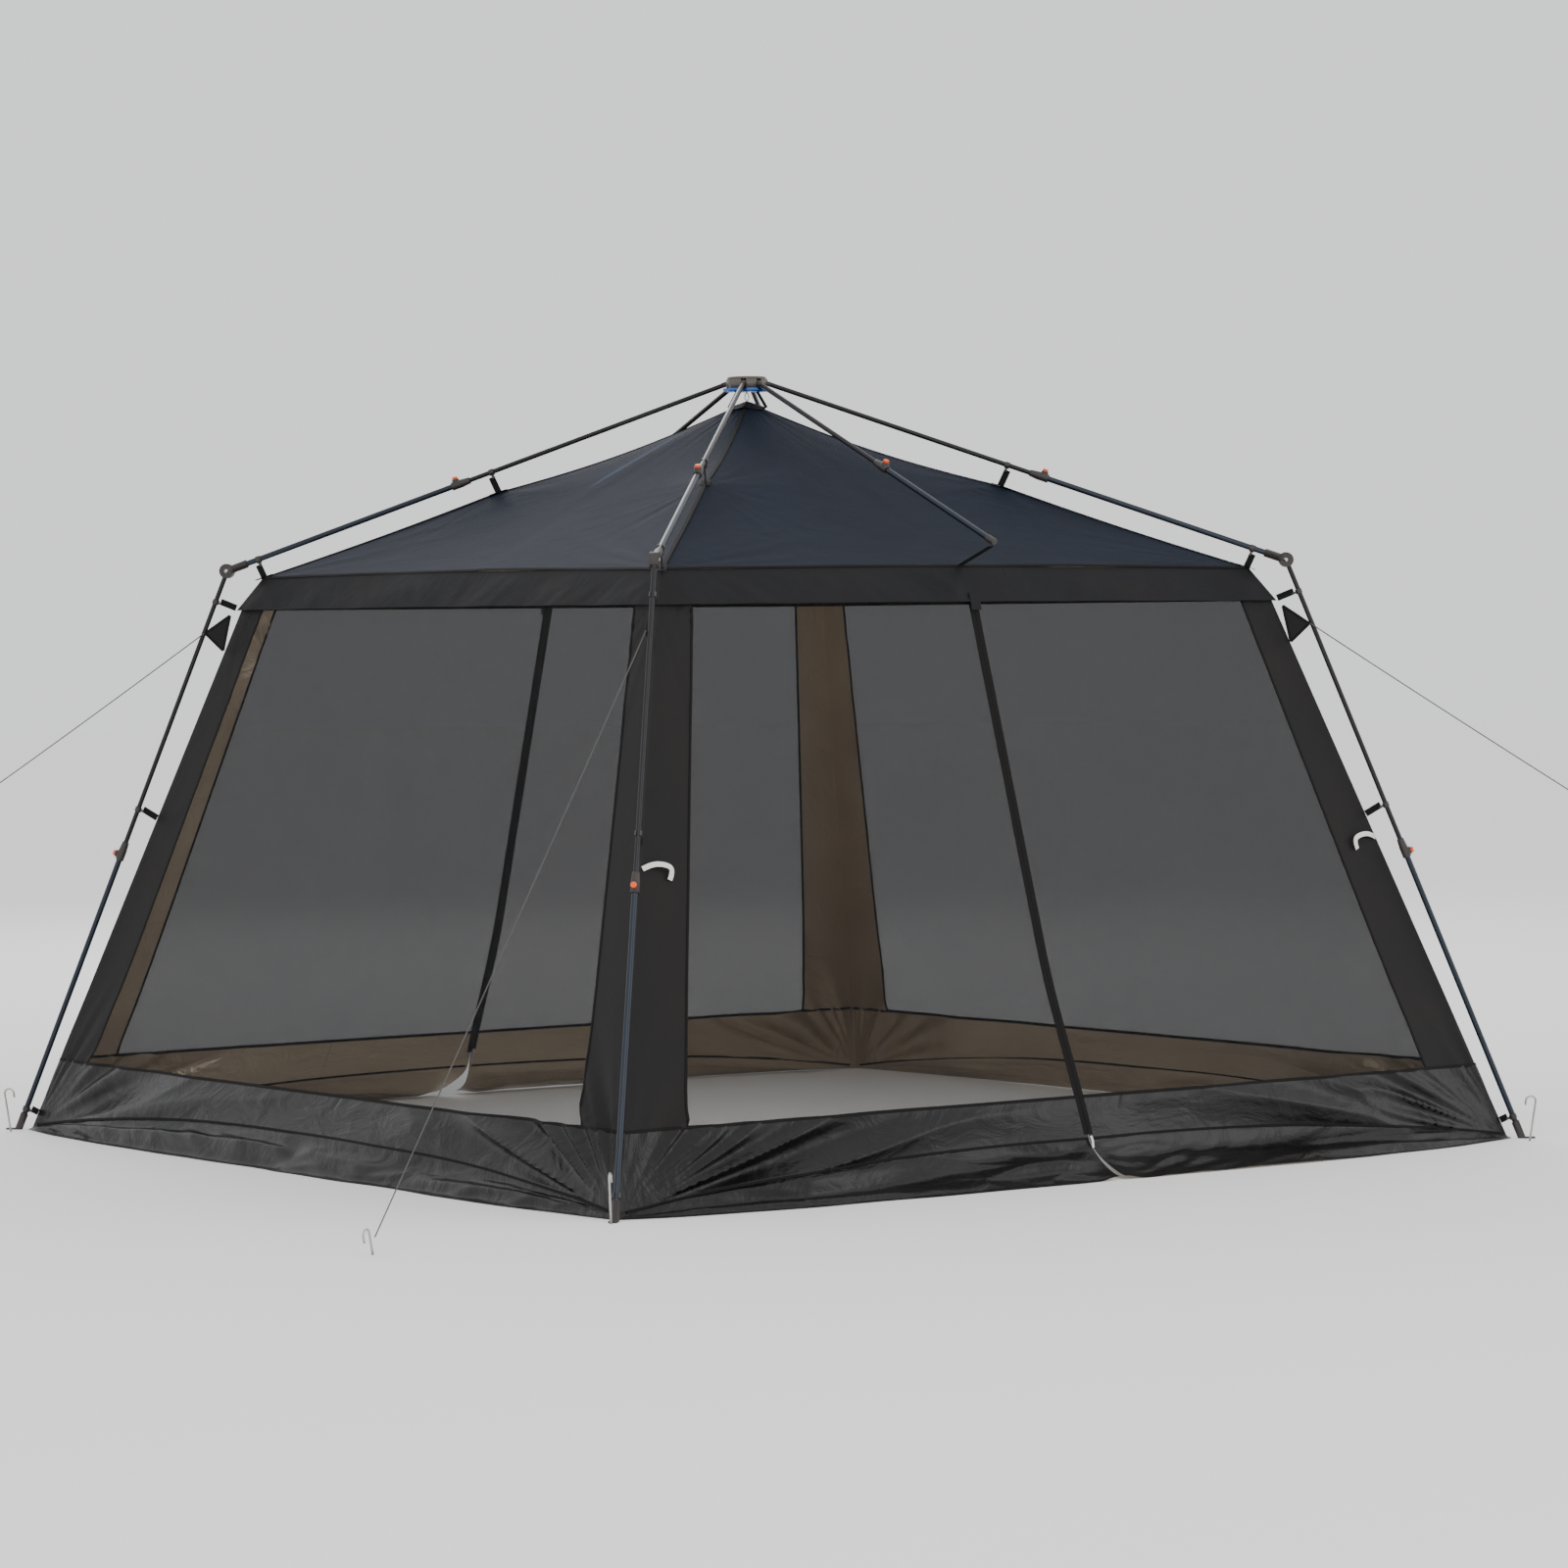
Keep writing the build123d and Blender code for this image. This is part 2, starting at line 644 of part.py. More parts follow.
save(Compound(tabs), "guy_tabs")


def guy_line(start, end, loop, label):
    """A taut cord from a tab to its far end, with a tied eye there if it has no peg."""
    way = (end - start).normalized()
    with BuildPart() as cord:
        with BuildSketch(Plane(origin=start, z_dir=way)):
            Circle(GUY_R)
        extrude(amount=(end - start).length)
    solids = [cord.part]
    if loop:
        sideways = way.cross(Vector(0, 0, 1)).normalized()
        middle = end + way * (GUY_LOOP_R + GUY_R)
        with BuildPart(Plane(origin=middle, z_dir=sideways)) as eye:
            Torus(GUY_LOOP_R, GUY_R)
        solids.append(eye.part)
    print(label, "length", round((end - start).length), "mm, one straight run")
    save(Compound(solids), label)


def guy_point(where):
    return place(ARMS[where], GUY_START, GUY_SIDE[where] * GUY_BESIDE)


def guy_end(where, out, slope):
    """A point out mm from the tab along the corner's diagonal, down the cord's slope."""
    return guy_point(where) + ARMS[where].x_dir * out - Vector(0, 0, out * slope)


guy_line(guy_point("front_left"), Vector(*GUY_PEG, GUY_PEG_TOP - 14), False, "guy_line_front")
guy_line(guy_point("back_left"), guy_end("back_left", 760, 0.695), True, "guy_line_left")
guy_line(guy_point("front_right"), guy_end("front_right", 900, 0.658), True, "guy_line_right")


def peg(base, top, hook_way):
    """The part of a wire peg that stands above the ground, with its crook."""
    base, top = Vector(*base), Vector(*top)
    way, hook = (top - base).normalized(), Vector(*hook_way).normalized()
    hook = (hook - way * hook.dot(way)).normalized()
    over = top + hook * PEG_HOOK_R + way * PEG_HOOK_R
    down = top + hook * 2 * PEG_HOOK_R
    with BuildPart() as wire:
        with BuildLine() as path:
            Line(base, top)
            ThreePointArc(top, over, down)
            Line(down, down - way * PEG_HOOK_R)
        with BuildSketch(Plane(origin=base, z_dir=way)):
            Circle(PEG_R)
        sweep(path=path.line)
        split(bisect_by=Plane.XY, keep=Keep.TOP)
    return wire.part


pegs = []
for where, (x, y) in PEG_BASES.items():
    out = ARMS[where].x_dir
    top = (x + out.X * PEG_LEAN * 0.6, y + out.Y * PEG_LEAN * 0.6, PEG_HEIGHT - PEG_HOOK_R - PEG_R)
    pegs.append(peg((x, y, 0), top, (-out.X, -out.Y, 0)))
save(Compound(pegs), "ground_pegs")

guy_peg_base = (GUY_PEG[0] - 10, GUY_PEG[1] - 5, 0)
guy_peg_top = (GUY_PEG[0] - 26, GUY_PEG[1] - 13, GUY_PEG_TOP)
save(peg(guy_peg_base, guy_peg_top, (-1, -0.5, 0)), "guy_peg")
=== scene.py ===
import json
import math

import bmesh
import bpy
from mathutils import Matrix, Vector, noise
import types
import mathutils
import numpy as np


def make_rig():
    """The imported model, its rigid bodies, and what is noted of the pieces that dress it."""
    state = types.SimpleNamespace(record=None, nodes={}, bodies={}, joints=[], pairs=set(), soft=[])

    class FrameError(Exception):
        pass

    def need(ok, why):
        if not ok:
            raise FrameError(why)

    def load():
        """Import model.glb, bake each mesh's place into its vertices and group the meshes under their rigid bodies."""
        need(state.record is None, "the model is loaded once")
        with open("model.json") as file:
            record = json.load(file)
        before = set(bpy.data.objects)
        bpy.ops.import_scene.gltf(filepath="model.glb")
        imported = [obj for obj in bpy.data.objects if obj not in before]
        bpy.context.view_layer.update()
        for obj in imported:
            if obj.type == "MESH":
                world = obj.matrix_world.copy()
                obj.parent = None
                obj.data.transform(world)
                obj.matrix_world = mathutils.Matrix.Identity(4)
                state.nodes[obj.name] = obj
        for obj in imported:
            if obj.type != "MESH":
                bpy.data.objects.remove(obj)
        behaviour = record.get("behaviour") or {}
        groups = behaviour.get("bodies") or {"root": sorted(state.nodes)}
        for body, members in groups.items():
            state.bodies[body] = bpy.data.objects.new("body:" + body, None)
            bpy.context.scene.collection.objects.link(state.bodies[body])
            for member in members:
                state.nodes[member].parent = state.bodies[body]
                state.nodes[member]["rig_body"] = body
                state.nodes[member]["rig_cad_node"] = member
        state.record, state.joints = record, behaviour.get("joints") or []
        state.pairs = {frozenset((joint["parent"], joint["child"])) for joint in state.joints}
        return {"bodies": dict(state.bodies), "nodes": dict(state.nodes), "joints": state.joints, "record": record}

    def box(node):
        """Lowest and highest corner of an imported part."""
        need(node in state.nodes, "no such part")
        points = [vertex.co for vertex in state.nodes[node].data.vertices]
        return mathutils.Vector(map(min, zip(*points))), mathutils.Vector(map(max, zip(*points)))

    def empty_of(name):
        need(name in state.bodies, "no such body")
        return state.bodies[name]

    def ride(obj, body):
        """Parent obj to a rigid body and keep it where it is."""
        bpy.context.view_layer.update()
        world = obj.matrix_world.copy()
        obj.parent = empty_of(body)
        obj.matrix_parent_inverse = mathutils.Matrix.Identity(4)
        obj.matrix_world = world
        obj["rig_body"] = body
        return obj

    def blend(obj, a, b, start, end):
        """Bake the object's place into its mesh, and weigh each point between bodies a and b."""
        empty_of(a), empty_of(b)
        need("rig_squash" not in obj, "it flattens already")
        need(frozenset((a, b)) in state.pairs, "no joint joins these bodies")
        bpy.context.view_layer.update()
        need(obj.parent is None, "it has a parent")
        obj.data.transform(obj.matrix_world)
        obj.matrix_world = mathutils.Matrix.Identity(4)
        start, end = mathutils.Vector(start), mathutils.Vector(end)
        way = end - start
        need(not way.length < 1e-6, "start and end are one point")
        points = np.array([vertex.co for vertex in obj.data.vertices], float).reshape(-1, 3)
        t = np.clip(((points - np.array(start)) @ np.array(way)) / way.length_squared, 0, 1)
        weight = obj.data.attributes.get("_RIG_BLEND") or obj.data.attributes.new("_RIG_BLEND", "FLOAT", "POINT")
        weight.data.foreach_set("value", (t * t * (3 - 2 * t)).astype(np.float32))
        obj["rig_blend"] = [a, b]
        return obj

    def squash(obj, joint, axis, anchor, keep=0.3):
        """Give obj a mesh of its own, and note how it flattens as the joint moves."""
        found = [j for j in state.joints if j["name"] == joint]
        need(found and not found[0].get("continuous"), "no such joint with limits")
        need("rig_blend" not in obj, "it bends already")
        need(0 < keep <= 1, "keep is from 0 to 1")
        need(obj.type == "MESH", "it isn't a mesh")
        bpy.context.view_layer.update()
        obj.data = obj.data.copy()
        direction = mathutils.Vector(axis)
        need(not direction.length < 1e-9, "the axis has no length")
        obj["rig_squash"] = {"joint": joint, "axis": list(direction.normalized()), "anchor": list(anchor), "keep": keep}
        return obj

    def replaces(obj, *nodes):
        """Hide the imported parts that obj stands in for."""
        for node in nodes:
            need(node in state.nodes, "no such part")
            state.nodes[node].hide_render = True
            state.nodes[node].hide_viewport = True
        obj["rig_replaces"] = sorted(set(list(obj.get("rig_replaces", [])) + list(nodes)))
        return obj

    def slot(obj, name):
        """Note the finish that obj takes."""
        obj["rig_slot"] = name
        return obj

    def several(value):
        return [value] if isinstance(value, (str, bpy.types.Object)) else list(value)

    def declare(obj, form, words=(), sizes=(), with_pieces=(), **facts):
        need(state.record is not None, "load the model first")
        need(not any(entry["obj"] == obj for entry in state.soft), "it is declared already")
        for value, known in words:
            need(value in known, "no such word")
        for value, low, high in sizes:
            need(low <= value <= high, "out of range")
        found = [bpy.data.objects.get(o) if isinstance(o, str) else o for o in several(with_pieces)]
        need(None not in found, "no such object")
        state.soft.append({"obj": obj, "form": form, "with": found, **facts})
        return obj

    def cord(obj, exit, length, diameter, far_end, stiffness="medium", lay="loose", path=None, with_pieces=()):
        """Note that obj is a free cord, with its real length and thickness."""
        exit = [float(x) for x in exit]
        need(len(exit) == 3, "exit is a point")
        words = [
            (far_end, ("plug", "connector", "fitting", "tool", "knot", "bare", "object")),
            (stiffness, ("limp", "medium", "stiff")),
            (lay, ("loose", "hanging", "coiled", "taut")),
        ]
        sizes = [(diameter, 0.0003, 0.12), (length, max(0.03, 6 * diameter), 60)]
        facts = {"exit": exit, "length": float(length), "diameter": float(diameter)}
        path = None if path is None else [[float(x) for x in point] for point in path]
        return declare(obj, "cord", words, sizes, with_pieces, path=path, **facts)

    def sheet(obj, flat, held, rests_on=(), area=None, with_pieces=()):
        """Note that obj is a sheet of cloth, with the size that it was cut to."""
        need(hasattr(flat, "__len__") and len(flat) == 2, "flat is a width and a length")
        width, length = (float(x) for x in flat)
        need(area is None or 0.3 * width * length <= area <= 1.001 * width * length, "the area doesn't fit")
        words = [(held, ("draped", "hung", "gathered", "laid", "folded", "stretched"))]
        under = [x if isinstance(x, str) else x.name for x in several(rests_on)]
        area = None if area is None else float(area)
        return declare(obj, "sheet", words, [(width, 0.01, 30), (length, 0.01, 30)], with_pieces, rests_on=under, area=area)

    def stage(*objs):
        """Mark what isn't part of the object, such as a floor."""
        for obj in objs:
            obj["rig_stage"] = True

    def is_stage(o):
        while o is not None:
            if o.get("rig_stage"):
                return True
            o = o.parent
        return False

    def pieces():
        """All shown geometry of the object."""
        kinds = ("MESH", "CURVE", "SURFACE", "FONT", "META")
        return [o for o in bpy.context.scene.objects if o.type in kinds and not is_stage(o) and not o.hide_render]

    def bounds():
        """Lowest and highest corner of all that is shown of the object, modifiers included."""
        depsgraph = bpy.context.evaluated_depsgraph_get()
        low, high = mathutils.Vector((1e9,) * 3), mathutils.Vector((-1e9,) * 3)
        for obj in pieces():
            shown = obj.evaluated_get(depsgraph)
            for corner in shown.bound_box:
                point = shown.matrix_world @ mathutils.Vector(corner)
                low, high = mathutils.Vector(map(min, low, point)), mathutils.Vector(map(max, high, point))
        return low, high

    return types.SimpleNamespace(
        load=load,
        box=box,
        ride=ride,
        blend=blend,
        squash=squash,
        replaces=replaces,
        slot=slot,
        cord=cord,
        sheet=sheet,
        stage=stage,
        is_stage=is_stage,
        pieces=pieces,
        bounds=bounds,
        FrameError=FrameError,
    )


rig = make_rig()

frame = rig.load()
CAD_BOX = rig.bounds()

# A square screen house: an umbrella frame of telescoping tubes with a cloth and mesh room hung inside it.
# Metres, +Z up. In an arm's plane, r is the distance from the centre line and z is the height.
# On one side of the room, a runs along the side from its middle and o is the distance outwards.

CORNERS = {"front_left": (-1, -1), "front_right": (1, -1), "back_left": (-1, 1), "back_right": (1, 1)}
DOORS = {"front": -1, "back": 1}

HUB_PIVOT = (0.052, 2.5525)
HUB_DISC_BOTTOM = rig.box("hub_disc")[0].z
ELBOW = (1.285 * 2**0.5, 1.9315)
FOOT = (1.830 * 2**0.5, 0.0)
EAVE_TIP = (1.331, 1.988)
THIN_R, THICK_R = 0.008, 0.0095

PEAK_Z = 2.483
PEAK_HOLE = 0.012  # share of the gore hidden under the peak's patch
ROOF_HALF, ROOF_Z = 1.197, 1.905
GORE_LENGTH = 1.329  # from the peak down the middle of a side to the eave
SEAM_IN, SEAM_UP = 0.041, 0.010  # where the eave's seam curves to at the middle of a side
BAND_LOW = (1.262, 1.796)
WALL_TOP = (1.246, 1.810)
WALL_LOW = (1.795, 0.003)
STRIP_TOP, STRIP_LOW = 0.130, 0.240
SKIRT_Z = 0.245
HEM_MIDDLE, HEM_CORNER = 0.118, 0.014  # heights of the seam where the skirt turns into its flap
FLAP_OUT = {"front": 1.950, "back": 1.950, "left": 1.880, "right": 1.880}
ZIP_HALF = 0.013
ZIP_TOP_Z = 1.800
SLIDER_Z = {"front": 0.130, "back": 0.170}
PARTED = {"front": 0.012, "back": 0.048}  # how far each half of a door is drawn aside at the ground
CLOTH = 0.001
RIDGE_STRAPS = (0.861, 1.686)  # r of the straps that hold the ridges up
RAFTER_CLIPS = (0.885, 1.706)  # r of the clips that those straps hang from
EAVE_STRAP, MIDDLE_STRAP, FOOT_STRAP = 1.826, 1.112, 0.072  # heights of the clips on a leg

GUY_START = (1.898, 1.718)
GUY_BESIDE = 0.014
GUY_R = 0.002
GUY_SAG = 0.006
GUY_PEG_HOOK = (-2.780, -2.040, 0.048)
GUY_RUNS = {"back_left": (0.760, 0.695), "front_right": (0.900, 0.658)}  # how far out, and fall per metre
EYE_R = 0.020
GUY_SIDE = {"front_left": -1, "front_right": -1, "back_left": 1, "back_right": 1}
TAB_OUTLINE = ((1.806, 1.778), (1.832, 1.658), (1.894, 1.718))
# A door tie's route: from the corner along the strip, height, and distance off the cloth
DOOR_TIE = (
    (0.004, 1.004, 0.004),
    (0.030, 1.018, 0.014),
    (0.075, 1.016, 0.020),
    (0.112, 1.000, 0.018),
    (0.106, 0.968, 0.008),
)
PULL_TAB = ((0.004, 0.012), (0.018, 0.014), (0.040, 0.010))  # below the slider, and off the cloth
ZIP_GARAGE = ((1.828, 0.012), (1.80, 0.014), (1.772, 0.010))  # height, and distance off the cloth


def lerp(low, high, share):
    return low + (high - low) * share


def straight(start, end):
    """A straight run: its two ends and its middle."""
    return [start, start.lerp(end, 0.5), end]


def smooth(low, high, value):
    share = min(1.0, max(0.0, (value - low) / (high - low)))
    return share * share * (3 - 2 * share)


def outward(corner):
    return Vector((*CORNERS[corner], 0)).normalized()


def tangent(corner):
    out = outward(corner)
    return Vector((-out.y, out.x, 0))


def arm_point(corner, r, z, beside=0.0):
    return outward(corner) * r + tangent(corner) * beside + Vector((0, 0, z))


def rafter_z(r):
    return lerp(HUB_PIVOT[1], ELBOW[1], (r - HUB_PIVOT[0]) / (ELBOW[0] - HUB_PIVOT[0]))


def leg_r(z):
    return lerp(ELBOW[0], FOOT[0], (ELBOW[1] - z) / ELBOW[1])


# --- camera --------------------------------------------------------------------------------------------

CAMERA_AT = Vector((-10.347, -14.259, 1.744))
CAMERA_TURN = (-0.63419, -0.03149, -0.00921)  # yaw, pitch and roll in radians
LENS, SENSOR = 119.19, 36.0

yaw, pitch, roll = CAMERA_TURN
ahead = Vector((-math.sin(yaw) * math.cos(pitch), math.cos(yaw) * math.cos(pitch), math.sin(pitch)))
level = Vector((math.cos(yaw), math.sin(yaw), 0))
above = level.cross(ahead)
right = level * math.cos(roll) + above * math.sin(roll)
up = above * math.cos(roll) - level * math.sin(roll)
camera = bpy.data.objects.new("camera", bpy.data.cameras.new("camera"))
camera.data.lens = LENS
camera.data.sensor_width = SENSOR
camera.data.clip_end = 200
camera.matrix_world = Matrix.Translation(CAMERA_AT) @ Matrix((right, up, -ahead)).transposed().to_4x4()
bpy.context.scene.collection.objects.link(camera)
bpy.context.scene.camera = camera


# --- materials -----------------------------------------------------------------------------------------


def linear(code):
    """A Blender colour from an sRGB hex value."""
    channels = [int(code[i : i + 2], 16) / 255 for i in (1, 3, 5)]
    return (*[c / 12.92 if c <= 0.04045 else ((c + 0.055) / 1.055) ** 2.4 for c in channels], 1.0)


def node(tree, kind, inputs=(), **settings):
    """Adds a node; an input is a value or the socket that feeds it."""
    made = tree.nodes.new(kind)
    for name, value in settings.items():
        setattr(made, name, value)
    for name, value in dict(inputs).items():
        if isinstance(value, bpy.types.NodeSocket):
            tree.links.new(value, made.inputs[name])
        else:
            made.inputs[name].default_value = value
    return made


def surface(name, **values):
    """A new material, its shader with those plain values, and its tree."""
    made = bpy.data.materials.new(name)
    made.use_nodes = True
    shader = made.node_tree.nodes["Principled BSDF"]
    for key, value in values.items():
        shader.inputs[key.replace("_", " ")].default_value = value
    return made, made.node_tree, shader


def mottled(tree, where, colours, scale):
    """A colour that drifts between two, with spots 1 / scale metres wide."""
    spots = node(tree, "ShaderNodeTexNoise", {"Vector": where, "Scale": scale, "Detail": 4.0})
    ends = {0: spots.outputs["Fac"], 6: linear(colours[0]), 7: linear(colours[1])}
    return node(tree, "ShaderNodeMix", ends, data_type="RGBA").outputs[2]


def weave(tree, where, pitch):
    """The height of a plain weave whose threads lie pitch metres apart."""
    turns = 2 * math.pi / 20 / pitch  # a wave texture of scale 1 has a period of 2 pi / 20
    across = node(tree, "ShaderNodeTexWave", {"Vector": where, "Scale": turns}, bands_direction="X")
    along = node(tree, "ShaderNodeTexWave", {"Vector": where, "Scale": turns}, bands_direction="Y")
    both = {0: across.outputs["Fac"], 1: along.outputs["Fac"]}
    return node(tree, "ShaderNodeMath", both, operation="ADD").outputs[0]


WEAVE = 0.004  # real threads lie 0.3 mm apart; drawn coarser, so that the weave shows at all


def woven(name, colours, *, weave_height, crease_height, crease_scale, pitch=WEAVE, **values):
    """A coated polyester: a fine weave, with creases in it from being packed."""
    made, tree, shader = surface(name, **values)
    where = node(tree, "ShaderNodeTexCoord").outputs["UV"]
    tree.links.new(mottled(tree, where, colours, 3.0), shader.inputs["Base Color"])
    creases = node(
        tree,
        "ShaderNodeTexNoise",
        {"Vector": where, "Scale": crease_scale, "Detail": 5.0, "Roughness": 0.55, "Distortion": 1.2},
    )
    low = node(
        tree,
        "ShaderNodeBump",
        {"Height": creases.outputs["Fac"], "Strength": 0.7, "Distance": crease_height},
    )
    threads = {"Height": weave(tree, where, pitch), "Strength": 0.5, "Distance": weave_height}
    fine = node(tree, "ShaderNodeBump", {**threads, "Normal": low.outputs[0]})
    tree.links.new(fine.outputs[0], shader.inputs["Normal"])
    return made


def painted(name, colours, grain, grain_height, scale=14.0, **values):
    """A moulded or coated solid: a colour that hardly drifts, and a fine grain."""
    made, tree, shader = surface(name, **values)
    where = node(tree, "ShaderNodeTexCoord").outputs["Object"]
    tree.links.new(mottled(tree, where, colours, scale), shader.inputs["Base Color"])
    grains = node(tree, "ShaderNodeTexNoise", {"Vector": where, "Scale": grain, "Detail": 3.0})
    bump = node(
        tree, "ShaderNodeBump", {"Height": grains.outputs["Fac"], "Strength": 0.6, "Distance": grain_height}
    )
    tree.links.new(bump.outputs[0], shader.inputs["Normal"])
    return made


# Polyester taffeta with a dull water-repellent finish: deep navy and matt.
roof_outside = woven(
    "polyester_navy",
    ("#0c1320", "#111b2b"),
    weave_height=0.0002,
    crease_height=0.003,
    crease_scale=6.0,
    Roughness=0.75,
    Specular_IOR_Level=0.15,
)
# The band is cut from a greyer roll than the roof; the warm brown tone that drifts through it is a painted reflection
# of the ground.
band_outside = woven(
    "polyester_graphite",
    ("#0f1218", "#1b1817"),
    weave_height=0.0002,
    crease_height=0.004,
    crease_scale=9.0,
    Roughness=0.65,
    Specular_IOR_Level=0.2,
)
# Corner strips: charcoal polyester, matt.
strip_outside = woven(
    "polyester_charcoal",
    ("#101114", "#1d1814"),
    weave_height=0.0002,
    crease_height=0.003,
    crease_scale=7.0,
    Roughness=0.62,
    Specular_IOR_Level=0.22,
)
# Skirt: calendered waterproof polyester, black and almost wet-looking, with sharp packing creases.
skirt_outside = woven(
    "polyester_calendered_black",
    ("#040405", "#0f0b08"),
    weave_height=0.0001,
    crease_height=0.014,
    crease_scale=6.0,
    Roughness=0.3,
    Specular_IOR_Level=0.34,
)
# The coated back of all four: an aluminised layer that gives a soft, bronze-tinted mirror.
silver_back = woven(
    "polyester_aluminised_back",
    ("#94836f", "#c6b79f"),
    weave_height=0.0001,
    crease_height=0.022,
    crease_scale=6.0,
    Roughness=0.32,
    Metallic=0.6,
)


NETTING_COVER = (0.485, 0.505)  # how much of the light one layer of the netting stops
MESH_PITCH = 0.0015  # real threads lie about 1 mm apart; drawn a little coarser


def insect_mesh():
    """Knitted polyester netting: fine black threads that let about half of the light through."""
    made, tree, shader = surface("polyester_netting_black", Roughness=0.85, Specular_IOR_Level=0.15)
    where = node(tree, "ShaderNodeTexCoord").outputs["UV"]
    tree.links.new(mottled(tree, where, ("#0b0c0e", "#131417"), 2.0), shader.inputs["Base Color"])
    threads = weave(tree, where, MESH_PITCH)
    least, most = NETTING_COVER
    share = {"Value": threads, "From Min": 0.0, "From Max": 2.0, "To Min": least, "To Max": most}
    cover = node(tree, "ShaderNodeMapRange", share)
    tree.links.new(cover.outputs[0], shader.inputs["Alpha"])
    return made


netting = insect_mesh()

# Polypropylene webbing: black, coarsely woven, dull.
webbing = woven(
    "polypropylene_webbing_black",
    ("#09090a", "#111113"),
    pitch=0.003,
    weave_height=0.0006,
    crease_height=0.001,
    crease_scale=20.0,
    Roughness=0.75,
    Specular_IOR_Level=0.2,
)
# Reflective webbing: white with a pearly, slightly metallic face.
white_webbing = woven(
    "reflective_webbing_white",
    ("#d8d6cf", "#f2f0ea"),
    pitch=0.003,
    weave_height=0.0005,
    crease_height=0.001,
    crease_scale=20.0,
    Roughness=0.4,
    Metallic=0.2,
)
# Grosgrain binding and zip tape: near black, a little browner than the cloth.
binding = woven(
    "grosgrain_tape_black",
    ("#0b0a0a", "#151210"),
    pitch=0.002,
    weave_height=0.0003,
    crease_height=0.001,
    crease_scale=25.0,
    Roughness=0.75,
    Specular_IOR_Level=0.2,
)
# Elastic cord at the peak: pale, with a soft knitted cover.
elastic = woven(
    "elastic_cord_cream",
    ("#cfc9a8", "#e8e2c4"),
    pitch=0.002,
    weave_height=0.0004,
    crease_height=0.001,
    crease_scale=30.0,
    Roughness=0.6,
)
# Powder-coated steel tube: near black, smooth, with a clear soft highlight down its length.
thin_coat = painted(
    "powder_coated_steel_black", ("#17161a", "#1f1d20"), 900.0, 0.0001, Roughness=0.34, Metallic=0.35
)
# The thick tubes: the same black powder coat, with a blue-grey painted reflection of the sky put into its colour, and
# less metal in it.
thick_coat = painted(
    "powder_coated_steel_graphite", ("#131b26", "#1c2634"), 900.0, 0.0001, Roughness=0.34, Metallic=0.25
)
# Glass-filled nylon: dark brown-grey, moulded with a fine spark-eroded grain.
nylon = painted("glass_filled_nylon_brown", ("#2a2624", "#38322e"), 1200.0, 0.0002, Roughness=0.48)
# ABS push buttons: orange, moulded smooth, slightly worn pale.
orange_abs = painted("abs_orange", ("#f24a06", "#fb6a1c"), 700.0, 0.0001, scale=60.0, Roughness=0.36)
# Hub: acetal in a warm grey, moulded.
hub_acetal = painted("acetal_warm_grey", ("#4b453f", "#5d554c"), 900.0, 0.0002, Roughness=0.42)
# Hub's lower disc: polypropylene in a strong blue.
blue_disc = painted("polypropylene_blue", ("#1a4f9c", "#2462b8"), 800.0, 0.0001, Roughness=0.38)
# Galvanised steel for pegs, rivets, pins and sliders: bright, with faint pale and dark spots.
zinc = painted(
    "galvanised_steel", ("#a9a9a4", "#c9c8c2"), 500.0, 0.0002, scale=90.0, Roughness=0.3, Metallic=1.0
)
# Braided guy cord with reflective tracers: dark grey with paler flecks.
cord_cover = painted("braided_nylon_cord", ("#17181a", "#63635f"), 800.0, 0.0004, scale=260.0, Roughness=0.6)


# --- making pieces -------------------------------------------------------------------------------------


def add_object(name, mesh, materials):
    made = bpy.data.objects.new(name, mesh)
    bpy.context.scene.collection.objects.link(made)
    for finish in materials:
        mesh.materials.append(finish)
    return made


def finish_mesh(name, bm, materials, sharp=40):
    """An object from a bmesh, smooth except over sharp edges."""
    mesh = bpy.data.meshes.new(name)
    bm.to_mesh(mesh)
    bm.free()
    mesh.shade_smooth()
    mesh.set_sharp_from_angle(angle=math.radians(sharp))
    return add_object(name, mesh, materials)


